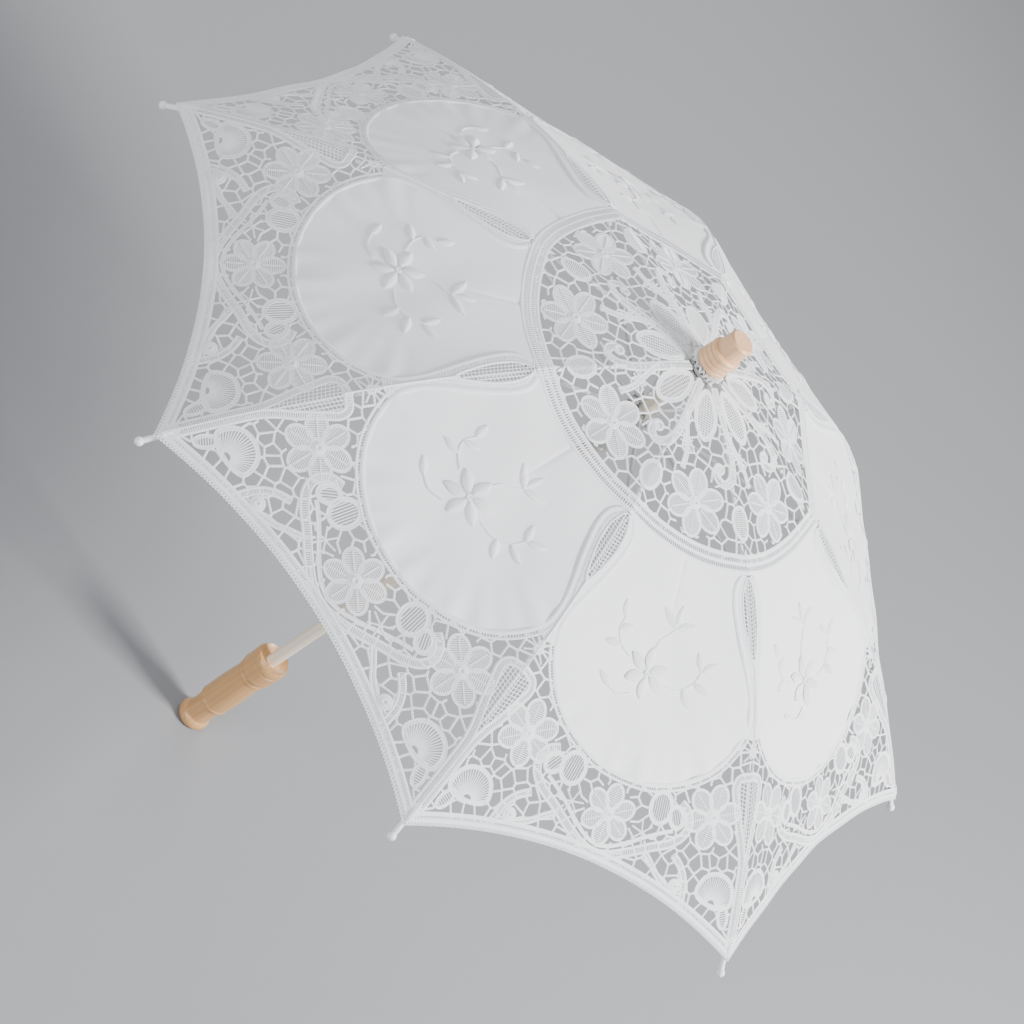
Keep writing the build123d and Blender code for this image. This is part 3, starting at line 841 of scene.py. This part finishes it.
covered.append(oval(CROWN_WEB, 5, 5, 0))

# Brides: plaited bars round irregular openings, only where nothing else lies.
# The large openings are listed and the rest fill the room between.
BRIDE_SAMPLE = 1.0
BRIDE_TRIES = 6000
BRIDE_REACH = 30
BORDER_GAP, CROWN_GAP = 8.6, 9.3
CROWN_START, CROWN_END = 14, 142
draw = np.random.default_rng(11)


def fill_openings(placed, allowed, low, high, gap):
    """Adds centres of openings wherever there is room for one."""
    centres = [np.array(place, float) for place in placed]
    for attempt in range(BRIDE_TRIES):
        spot = np.array([draw.uniform(low[0], high[0]), draw.uniform(low[1], high[1])])
        if not allowed(spot[None])[0]:
            continue
        if min(np.hypot(*(spot - other)) for other in centres) > gap:
            centres.append(spot)
    return np.array(centres)


def bars_between(centres, reach):
    """The lines halfway between neighbouring openings, by testing every group of three."""
    count = len(centres)
    near = np.linalg.norm(centres[:, None] - centres[None], axis=2) < reach
    corners, owners = [], {}
    for first in range(count):
        friends = np.nonzero(near[first])[0]
        friends = friends[friends > first]
        for place, second in enumerate(friends):
            for third in friends[place + 1:]:
                if not near[second, third]:
                    continue
                a, b, c = centres[first], centres[second], centres[third]
                double = 2 * ((b[0] - a[0]) * (c[1] - a[1]) - (b[1] - a[1]) * (c[0] - a[0]))
                if abs(double) < 1e-6:
                    continue
                bb, cc = (b - a) @ (b - a), (c - a) @ (c - a)
                ux = ((c[1] - a[1]) * bb - (b[1] - a[1]) * cc) / double
                uy = ((b[0] - a[0]) * cc - (c[0] - a[0]) * bb) / double
                middle = a + (ux, uy)
                if np.hypot(*(centres - middle).T).min() < math.hypot(ux, uy) - 1e-6:
                    continue
                corners.append(middle)
                for pair in ((first, second), (first, third), (second, third)):
                    owners.setdefault(pair, []).append(len(corners) - 1)
    return [(corners[pair[0]], corners[pair[1]]) for pair in owners.values() if len(pair) == 2]


def lay_brides(work, lines, allowed, hidden_by):
    """Plaited bars, each with small picots along it, wherever no filled shape hides them."""
    for start, end in lines:
        length = np.hypot(*(end - start))
        count = max(3, int(length / BRIDE_SAMPLE) + 1)
        path = start + (end - start) * np.linspace(0, 1, count)[:, None]
        shown = allowed(path)
        for outline in hidden_by:
            shown &= ~inside(np.asarray(outline, float), path)
        index = np.nonzero(shown)[0]
        if len(index) < 2:
            continue
        first, last = max(index[0] - 1, 0), min(index[-1] + 1, count - 1)
        run = path[first:last + 1]
        widths = 0.72 + 0.34 * (np.arange(len(run)) % 2)
        lay_strand(work, run, widths, 0.55, ROUND_THREAD)


BORDER_HOLES = (
    (101, 260), (109, 267), (97, 275), (110, 281), (95, 290), (86, 293), (81, 302), (62, 315),
    (56, 321), (54, 345), (49, 353), (24, 332), (14, 331), (42, 353), (33, 351), (28, 356),
    (44, 361), (35, 366), (29, 372), (17, 373), (70, 371), (60, 372), (56, 384), (45, 380),
    (78, 354), (88, 361), (91, 376), (95, 357), (100, 354), (109, 353), (116, 350), (117, 361),
    (133, 374), (137, 390), (124, 398), (115, 393), (107, 391), (98, 386), (87, 388), (30, 382),
    (12, 384),
)
CROWN_HOLES = (
    (-15, 38), (20, 42), (-22, 56), (-12, 54), (-24, 68), (-6, 64), (-21, 78), (-10, 78), (2, 68),
    (12, 57), (15, 70), (23, 76), (15, 84), (-36, 84), (-31, 92), (-27, 134), (-15, 137), (0, 140),
    (13, 137), (25, 135), (36, 131), (-38, 131), (47, 115), (-47, 113), (34, 118), (-34, 117),
    (52, 128), (-52, 128), (9, 84), (-8, 86),
)


def within_border(points):
    """Between the petal and the hem."""
    foot = smooth_path(PETAL_SIDE[7:] + PETAL_FOOT[1:], 3.0)
    petal_area_outline = np.vstack([foot, foot[::-1] * (-1, 1), [(-90, 240), (90, 240)]])
    beyond_petal = ~inside(petal_area_outline, points) & (points[:, 1] > 256)
    above_hem = points[:, 1] < hem_line(points[:, 0], 4.0)[1]
    short_of_rib = points[:, 0] < rib_across(points[:, 1]) + 3
    return beyond_petal & above_hem & short_of_rib & (points[:, 0] > -3)


def within_crown(points):
    """Between the finial and the ring."""
    between_ribs = np.abs(points[:, 0]) < rib_across(points[:, 1]) + 3
    return (points[:, 1] > CROWN_START) & (points[:, 1] < CROWN_END) & between_ribs


def around_rib(points, mirrored):
    """Copies of points past the rib: mirrored in the border, turned by one gore in the crown."""
    reach = rib_out(points[:, 1], 0.0) * math.cos(HALF_GORE)
    angle = np.arctan2(points[:, 0], reach)
    if mirrored:
        return [np.stack([reach * np.tan(GORE_STEP - angle), points[:, 1]], 1), points * (-1, 1)]
    turned = (angle - GORE_STEP, angle + GORE_STEP)
    return [np.stack([reach * np.tan(turn), points[:, 1]], 1) for turn in turned]


border_centres = fill_openings(BORDER_HOLES, within_border, (0, 256), (160, 410), BORDER_GAP)
border_all = np.vstack([border_centres] + around_rib(border_centres, True))
near_rib = border_all[:, 0] < rib_across(border_all[:, 1]) + 22
border_all = border_all[(border_all[:, 0] > -22) & near_rib]
lay_brides(lace, bars_between(border_all, BRIDE_REACH), within_border, border_covered)
crown_centres = fill_openings(CROWN_HOLES, within_crown, (-60, 16), (60, CROWN_END), CROWN_GAP)
crown_all = np.vstack([crown_centres] + around_rib(crown_centres, False))
crown_all = crown_all[np.abs(crown_all[:, 0]) < rib_across(crown_all[:, 1]) + 20]
lay_brides(crown, bars_between(crown_all, BRIDE_REACH), within_crown, covered)

# Binding round the petal: a narrow tape, a row of drawn-thread holes and a cord.
RIM_GAP, RIM_WIDTH = 1.2, 4.4
petal_rim = PETAL_SIDE + PETAL_FOOT[1:] + [(-4, PETAL_END)]
lay_strand(lace, smooth_path(petal_rim, 1.9), 2.0, 0.95, CORD, 0.2)
rim_run = smooth_path(petal_rim, 2.0)
lay_strand(lace, beside(rim_run, -RIM_WIDTH), 1.0, 0.6, CORD, 0.1)
for near, far in zip(beside(rim_run, -RIM_GAP), beside(rim_run, -RIM_WIDTH)):
    lay_thread(lace, near, far, 0.36, 0.1)

# ---------------------------------------------------------------------------
# Lace material
# Soft white mercerised cotton. The weave runs along each tape and thread, so
# every strand carries its own run and width as coordinates.
# ---------------------------------------------------------------------------
cotton_weave, weave_in, weave_out = new_group(
    "cotton_weave",
    [
        ("Weave", "NodeSocketVector", None),
        ("Pitch", "NodeSocketFloat", 0.7),
        ("Slub", "NodeSocketFloat", 0.4),
    ],
    [("Height", "NodeSocketFloat"), ("Shade", "NodeSocketFloat")],
)
weave_parts = new_node(cotton_weave, "SeparateXYZ")
link(cotton_weave, weave_in, "Weave", weave_parts, "Vector")
warp_and_weft = []
for axis in ("X", "Y"):
    turns = math_node(cotton_weave, "DIVIDE", weave_parts.outputs[axis], weave_in.outputs["Pitch"])
    angle = math_node(cotton_weave, "MULTIPLY", turns, 2 * math.pi)
    warp_and_weft.append(math_node(cotton_weave, "SINE", angle))
crossing = math_node(cotton_weave, "MULTIPLY", *warp_and_weft)
slub_noise = new_node(cotton_weave, "TexNoise", Scale=0.9, Detail=4.0)
link(cotton_weave, weave_in, "Weave", slub_noise, "Vector")
slub_part = math_node(cotton_weave, "MULTIPLY", slub_noise.outputs["Fac"], weave_in.outputs["Slub"])
crossing_part = math_node(cotton_weave, "MULTIPLY", crossing, 0.5)
weave_height = math_node(cotton_weave, "ADD", crossing_part, slub_part)
cotton_weave.links.new(weave_height, weave_out.inputs["Height"])
raised = math_node(cotton_weave, "ADD", crossing, 1.0)
shade_part = math_node(cotton_weave, "MULTIPLY", raised, 0.35)
slub_shade = math_node(cotton_weave, "MULTIPLY", slub_part, 0.6)
shade_sum = math_node(cotton_weave, "ADD", shade_part, slub_shade, clamp=True)
cotton_weave.links.new(shade_sum, weave_out.inputs["Shade"])


def cotton_finish(name, light, shadow, pitch, slub, roughness, sheen, depth):
    """White cotton with its own weave, slubs and soft nap."""
    material, tree, shader = new_material(name)
    run = new_node(tree, "UVMap")
    run.uv_map = "weave"
    weave = place_group(tree, cotton_weave, pitch=pitch, slub=slub)
    link(tree, run, "UV", weave, "Weave")
    cloud = object_texture(tree, "TexNoise", Scale=26.0, Detail=4.0)
    woven = colour_mix(tree, weave.outputs["Shade"], shadow, light)
    cloud_part = math_node(tree, "MULTIPLY", cloud.outputs["Fac"], 0.10)
    aged = colour_mix(tree, cloud_part, woven, (0.78, 0.80, 0.86, 1.0))
    tree.links.new(aged, shader.inputs["Base Color"])
    fuzz = math_node(tree, "MULTIPLY", cloud.outputs["Fac"], 0.1)
    tree.links.new(math_node(tree, "ADD", fuzz, roughness), shader.inputs["Roughness"])
    shader.inputs["Sheen Weight"].default_value = sheen
    shader.inputs["Sheen Roughness"].default_value = 0.45
    shader.inputs["Specular IOR Level"].default_value = 0.3
    add_relief(tree, weave.outputs["Height"], shader, strength=0.7, distance=depth)
    return material


tape_cotton = cotton_finish(
    "tape_cotton", (0.93, 0.94, 0.96, 1.0), (0.80, 0.82, 0.86, 1.0),
    pitch=1.0, slub=0.5, roughness=0.78, sheen=0.25, depth=0.00018,
)
fine_thread = cotton_finish(
    "fine_thread", (0.93, 0.94, 0.96, 1.0), (0.82, 0.84, 0.88, 1.0),
    pitch=0.6, slub=0.3, roughness=0.70, sheen=0.2, depth=0.00010,
)
petal_cotton = cotton_finish(
    "petal_cotton", (0.92, 0.93, 0.95, 1.0), (0.85, 0.865, 0.90, 1.0),
    pitch=0.55, slub=0.35, roughness=0.85, sheen=0.3, depth=0.00006,
)
satin_thread = cotton_finish(
    "satin_thread", (0.96, 0.965, 0.98, 1.0), (0.88, 0.89, 0.92, 1.0),
    pitch=0.4, slub=0.2, roughness=0.42, sheen=0.35, depth=0.00005,
)

# ---------------------------------------------------------------------------
# Petals
# Plain cotton lawn, one petal to a gore, pressed down its middle when it was
# cut, and set into the lace by its binding.
# ---------------------------------------------------------------------------
CLOTH_HALF = 0.2
PETAL_COLUMNS = 44
PETAL_ROWS = 72
PETAL_CENTRE = 237
PRESSED_DEPTH, PRESSED_WIDTH, PRESSED_END, PRESSED_FADE = 0.55, 1.6, 215, 40
GATHER_DEPTH, GATHER_COUNT, GATHER_START, GATHER_WIDTH = 0.75, 23, 42, 46


def petal_panel():
    """The flat half petal as a thin closed panel, from the middle out to its binding."""
    side_run = smooth_path(PETAL_SIDE, 1.0)
    foot_run = smooth_path(PETAL_FOOT, 1.0)[::-1]
    rows = np.linspace(0, 1, PETAL_ROWS + 1)
    columns = np.linspace(0, 1, PETAL_COLUMNS + 1)

    def at(run, share):
        walked = np.linspace(0, 1, len(run))
        return np.stack([np.interp(share, walked, run[:, i]) for i in (0, 1)], -1)

    right = at(side_run, rows)
    bottom = at(foot_run, columns)
    top_left, bottom_left = np.array(ring_line(0, 0)), np.array([0.0, PETAL_END])
    left = top_left + (bottom_left - top_left) * rows[:, None]
    top = top_left + (right[0] - top_left) * columns[:, None]
    top[:, 1] = [ring_line(x, 0)[1] for x in top[:, 0]]
    right[0] = top[-1]
    a, b = columns[None, :, None], rows[:, None, None]
    sheet = (1 - b) * top[None] + b * bottom[None] + (1 - a) * left[:, None] + a * right[:, None]
    corners = (1 - a) * (1 - b) * top[0] + a * (1 - b) * top[-1]
    corners = corners + (1 - a) * b * bottom[0] + a * b * bottom[-1]
    return sheet - corners


def pucker(across, along):
    """Small pulls in the cotton: its pressed crease and the gathers by the binding."""
    fold = np.exp(-((across / PRESSED_WIDTH) ** 2))
    crease = -PRESSED_DEPTH * fold * np.clip((PRESSED_END - along) / PRESSED_FADE, 0, 1)
    below = along - PETAL_CENTRE
    edge = np.clip((np.hypot(across, below) - GATHER_START) / GATHER_WIDTH, 0, 1)
    spin = np.arctan2(across, below)
    waves = np.sin(GATHER_COUNT * spin + along / 30)
    gathers = GATHER_DEPTH * edge**2 * waves * np.sin(5 * spin + 1.0)
    soft = 0.5 * np.sin(across / 19 + 0.8) * np.sin(along / 23)
    return crease + gathers * (below > 0) + soft * np.clip(across / 12, 0, 1)


petal = new_work()
panel = petal_panel()
panel_rows, panel_columns = panel.shape[:2]
flat_panel = panel.reshape(-1, 2)
for lift in (CLOTH_HALF, -CLOTH_HALF):
    height = pucker(flat_panel[:, 0], flat_panel[:, 1]) + lift
    petal["points"].append(np.column_stack([flat_panel, height]))
    petal["weave"].append(flat_panel)
layer = panel_rows * panel_columns
for row in range(panel_rows - 1):
    for column in range(panel_columns - 1):
        corner = row * panel_columns + column
        below = corner + panel_columns
        petal["faces"].append((corner, corner + 1, below + 1, below))
        petal["faces"].append(
            (layer + corner, layer + below, layer + below + 1, layer + corner + 1)
        )
rim = [row * panel_columns for row in range(panel_rows)]
rim += [(panel_rows - 1) * panel_columns + column for column in range(1, panel_columns)]
rim += [row * panel_columns + panel_columns - 1 for row in range(panel_rows - 2, -1, -1)]
rim += list(range(panel_columns - 2, 0, -1))
for first, second in zip(rim, rim[1:] + rim[:1]):
    petal["faces"].append((first, second, layer + second, layer + first))
petal["count"] = 2 * layer

# ---------------------------------------------------------------------------
# Embroidery
# Satin stitch in glossy white cotton on each petal: a six-petal flower, a
# two-leaf sprig above it, side sprigs with buds, and stem-stitch stalks.
# ---------------------------------------------------------------------------
needlework = new_work()
STITCH = 0.62
STITCH_RADIUS = 0.36
STITCH_BASE = 0.35


def satin_leaf(root, tip, width, fullness=0.75):
    """A leaf worked in satin stitch: threads laid side by side over a padded middle."""
    root, tip = np.asarray(root, float), np.asarray(tip, float)
    length = np.linalg.norm(tip - root)
    ahead = (tip - root) / length
    side = np.array([-ahead[1], ahead[0]])
    count = int(length / STITCH)
    for index in range(count):
        share = (index + 0.5) / count
        half = width / 2 * math.sin(math.pi * share) ** fullness
        if half < 0.3:
            continue
        middle = root + ahead * length * share
        lean = ahead * half * 0.25
        path = np.array([middle + place * (side * half + lean) for place in (-1, -0.5, 0, 0.5, 1)])
        pad = 0.35 + 0.2 * half
        rise = pucker(path[:, 0], path[:, 1]) + np.array([0, 0.75, 1, 0.75, 0]) * pad
        flat_radius = STITCH_RADIUS * THREAD_FLATNESS
        lay_strand(
            needlework, path, STITCH_RADIUS, flat_radius, ROUND_THREAD, STITCH_BASE, False, rise
        )


def sprig_leaf(root, tip, width):
    """A leaf of one of the sprigs, a little longer and fuller than it is marked out."""
    root, tip = np.asarray(root, float), np.asarray(tip, float)
    satin_leaf(root, root + 1.3 * (tip - root), 1.15 * width)


def stem_stitch(points):
    """A stalk of short slanting stitches."""
    run = smooth_path(points, 1.5)
    for mark, forward, across in zip(run, *headings(run)):
        near = mark - forward * 1.1 - across * 0.4
        far = mark + forward * 1.1 + across * 0.4
        level = float(pucker(mark[0], mark[1]))
        lay_thread(needlework, near, far, 0.42, STITCH_BASE + level, 0.2)


FLOWER = (-7, 249)
for petal_turn in range(30, 390, 60):
    outward = direction(petal_turn)
    satin_leaf(FLOWER + 3.0 * outward, FLOWER + 20.0 * outward, 8.4)
for knot_radius in (1.9, 0.9):
    lay_ring(needlework, FLOWER, knot_radius, 0.6, 0.6, STITCH_BASE + 0.3, 10)
# Each sprig: the points of its stalk, then its leaves as root, tip and width.
SPRIGS = (
    ([(-6, 231), (-3, 222), (4, 214), (8, 208)],
     [((8, 209), (-4, 200), 5.6), ((8, 209), (20, 202), 5.6), ((7, 206), (8, 194), 4.2)]),
    ([(12, 252), (24, 250), (34, 241), (38, 230)],
     [((26, 248), (33, 257), 5.8), ((34, 241), (45, 244), 5.4),
      ((38, 231), (33, 221), 5.0), ((39, 230), (47, 222), 4.8)]),
    ([(-27, 243), (-36, 238), (-41, 229), (-39, 219)],
     [((-36, 238), (-47, 240), 5.2), ((-41, 229), (-33, 223), 4.8), ((-39, 219), (-41, 209), 5.4)]),
    ([(-16, 268), (-26, 272), (-35, 270)],
     [((-35, 270), (-44, 264), 5.0)]),
)
for stalk, leaves in SPRIGS:
    stem_stitch(stalk)
    for root, tip, width in leaves:
        sprig_leaf(root, tip, width)

# ---------------------------------------------------------------------------
# Canopy: cutting and fixing
# Each drawn piece is cut at the gore's middle and at the rib, and laid on the
# frame.
# ---------------------------------------------------------------------------


def cut_half(work, side):
    """The part of a flat piece between the gore's middle and the rib on one side, as a mesh."""
    points = np.vstack(work["points"])
    weave = np.vstack(work["weave"])
    shares = points.copy()
    shares[:, 0] = side * points[:, 0] / rib_across(points[:, 1])
    mesh = bpy.data.meshes.new("cutting")
    faces = work["faces"] if side > 0 else [tuple(reversed(face)) for face in work["faces"]]
    mesh.from_pydata(shares.tolist(), [], faces)
    layer_uv = mesh.uv_layers.new(name="weave")
    corners = np.zeros(len(mesh.loops), np.int32)
    mesh.loops.foreach_get("vertex_index", corners)
    layer_uv.data.foreach_set("uv", weave[corners].astype(np.float32).ravel())
    shape = bmesh.new()
    shape.from_mesh(mesh)
    for place, normal in (((0, 0, 0), (-1, 0, 0)), ((1, 0, 0), (1, 0, 0))):
        everything = list(shape.verts) + list(shape.edges) + list(shape.faces)
        cut = bmesh.ops.bisect_plane(
            shape, geom=everything, plane_co=place, plane_no=normal, clear_outer=True
        )
        edges = [item for item in cut["geom_cut"] if isinstance(item, bmesh.types.BMEdge)]
        rims = [edge for edge in edges if edge.is_boundary]
        bmesh.ops.edgeloop_fill(shape, edges=rims)
    bmesh.ops.recalc_face_normals(shape, faces=shape.faces)
    shape.to_mesh(mesh)
    shape.free()
    return mesh


SHARP_EDGE = math.radians(50)


def fix_to_frame(name, flat_mesh, gore, side, material):
    """Lays one cut half on the frame."""
    mesh = flat_mesh.copy()
    mesh.name = name
    shares = np.zeros(len(mesh.vertices) * 3)
    mesh.vertices.foreach_get("co", shares)
    flat = shares.reshape(-1, 3)
    flat[:, 0] = side * flat[:, 0] * rib_across(flat[:, 1])
    mesh.vertices.foreach_set("co", lay_on_ribs(flat, gore).astype(np.float32).ravel())
    mesh.update()
    mesh.shade_smooth()
    mesh.set_sharp_from_angle(angle=SHARP_EDGE)
    mesh.materials.clear()
    mesh.materials.append(material)
    piece = add_object(name, mesh)
    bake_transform(piece)
    return piece


petal_area = 0.0
outline_run = np.vstack(
    [[(0, RING_MIDDLE)], smooth_path(PETAL_SIDE, 2.0), smooth_path(PETAL_FOOT, 2.0)]
)
for (x1, y1), (x2, y2) in zip(outline_run, np.roll(outline_run, -1, 0)):
    petal_area += (x1 * y2 - x2 * y1) / (2 * MM**2)
petal_area = abs(petal_area)

KINDS = (
    ("tape_lace", lace, tape_cotton, True),
    ("drawn_threads", filling, fine_thread, True),
    ("crown_lace", crown, tape_cotton, False),
    ("crown_threads", crown_filling, fine_thread, False),
    ("petal", petal, petal_cotton, True),
    ("embroidery", needlework, satin_thread, False),
)
for side, hand in ((-1, "left"), (1, "right")):
    cuts = {
        kind: cut_half(work, 1 if mirrored else side) for kind, work, material, mirrored in KINDS
    }
    for gore in range(RIBS):
        rib_number = (gore if side < 0 else (gore + 1) % RIBS) + 1
        for kind, work, material, mirrored in KINDS:
            name = f"{kind}_{rib_number}_{hand}"
            fix_to_frame(name, cuts[kind], gore, side, material)
        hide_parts(f"gore_{rib_number}_{hand}")

# ---------------------------------------------------------------------------
# Rosette under the finial
# A strip of the same lawn gathered tight round the shaft, its pleats standing
# out under the finial and hiding where the eight gores meet.
# ---------------------------------------------------------------------------
ROSETTE_PLEATS = 19
ROSETTE_STEPS = ROSETTE_PLEATS * 12
ROSETTE_INNER = 5.6
ROSETTE_MARGIN = 0.2
ROSETTE_HALF_CLOTH = 0.15
rosette_low, rosette_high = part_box("crown_rosette")
rosette_outer = rosette_high.x * MM - ROSETTE_MARGIN
rosette_middle = (rosette_low.z + rosette_high.z) * MM / 2
rosette = bmesh.new()
rosette_rings = []
for step in range(ROSETTE_STEPS):
    turn = 2 * math.pi * step / ROSETTE_STEPS
    over, under = [], []
    for share in np.linspace(0, 1, 9):
        wave = math.sin(ROSETTE_PLEATS * turn + 0.6 * math.sin(4 * turn) + 0.5 * share)
        radius = ROSETTE_INNER + (rosette_outer - ROSETTE_INNER) * share
        level = rosette_middle + (0.35 + 1.25 * share) * wave + 0.15 * math.sin(3 * turn) * share
        for layer_points, lift in ((over, ROSETTE_HALF_CLOTH), (under, -ROSETTE_HALF_CLOTH)):
            spot = (radius * math.cos(turn), radius * math.sin(turn), level + lift)
            layer_points.append(rosette.verts.new([value / MM for value in spot]))
    rosette_rings.append(over + under[::-1])
for ring, following in zip(rosette_rings, rosette_rings[1:] + rosette_rings[:1]):
    for index in range(len(ring)):
        after = (index + 1) % len(ring)
        rosette.faces.new((ring[index], following[index], following[after], ring[after]))
bmesh.ops.recalc_face_normals(rosette, faces=rosette.faces)
rosette_mesh = bpy.data.meshes.new("rosette")
rosette.to_mesh(rosette_mesh)
rosette.free()
rosette_run = rosette_mesh.uv_layers.new(name="weave")
for loop in rosette_mesh.loops:
    spot = rosette_mesh.vertices[loop.vertex_index].co * MM
    rosette_run.data[loop.index].uv = (math.atan2(spot.y, spot.x) * 14, math.hypot(spot.x, spot.y))
rosette_mesh.shade_smooth()
rosette_mesh.materials.append(petal_cotton)
rosette_piece = add_object("gathered_rosette", rosette_mesh)
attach(rosette_piece, "root")
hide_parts("crown_rosette")

# ---------------------------------------------------------------------------
# Ties
# White cotton thread wound round each rib where the cloth is sewn to it, and
# round the stem of each tip, where the corner of the hem is whipped on.
# ---------------------------------------------------------------------------
TIE_RADIUS = 0.32
TIE_STEPS = 16
TIE_TALL = 1.25
TIE_RAISE = 0.6
# Each tie: name, distance along the rib, turns, pitch, radius.
TIES = (
    ("tip_whipping", 407.5, 13, 0.62, 3.4),
    ("ring_tie", 144.0, 3, 0.8, 2.6),
    ("seam_tie", 255.0, 3, 0.8, 2.6),
)


def wound_tie(name, number, along, turns, pitch, radius):
    """A few turns of thread round a rib, at a distance along it."""
    angle = RIB_ROOT_SLOPE + along / RIB_BEND
    centre = Vector((float(rib_out(along, 0.0)), 0.0, float(rib_height(along, 0.0))))
    down_rib = Vector((math.cos(angle), 0.0, -math.sin(angle)))
    off_rib = Vector((math.sin(angle), 0.0, math.cos(angle)))
    sideways = Vector((0.0, 1.0, 0.0))
    curve = bpy.data.curves.new(name, "CURVE")
    curve.dimensions = "3D"
    curve.bevel_depth = TIE_RADIUS / MM
    curve.bevel_resolution = 2
    spline = curve.splines.new("POLY")
    steps = turns * TIE_STEPS
    spline.points.add(steps)
    turn_about = Matrix.Rotation((number - 1) * GORE_STEP, 3, "Z")
    for step in range(steps + 1):
        spin = 2 * math.pi * step / TIE_STEPS
        shift = (step / TIE_STEPS - turns / 2) * pitch
        around = off_rib * math.sin(spin) * TIE_TALL + sideways * math.cos(spin)
        spot = centre + down_rib * shift + around * radius + off_rib * TIE_RAISE
        spline.points[step].co = (*(turn_about @ spot / MM), 1.0)
    holder = add_object(name, curve)
    bpy.context.view_layer.update()
    shaped = holder.evaluated_get(bpy.context.evaluated_depsgraph_get())
    mesh = bpy.data.meshes.new_from_object(shaped)
    bpy.data.objects.remove(holder)
    mesh.uv_layers.new(name="weave")
    mesh.materials.clear()
    mesh.materials.append(fine_thread)
    tie = add_object(name, mesh)
    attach(tie, f"rib_{number}")


for number in range(1, RIBS + 1):
    for kind, along, turns, pitch, radius in TIES:
        wound_tie(f"{kind}_{number}", number, along, turns, pitch, radius)
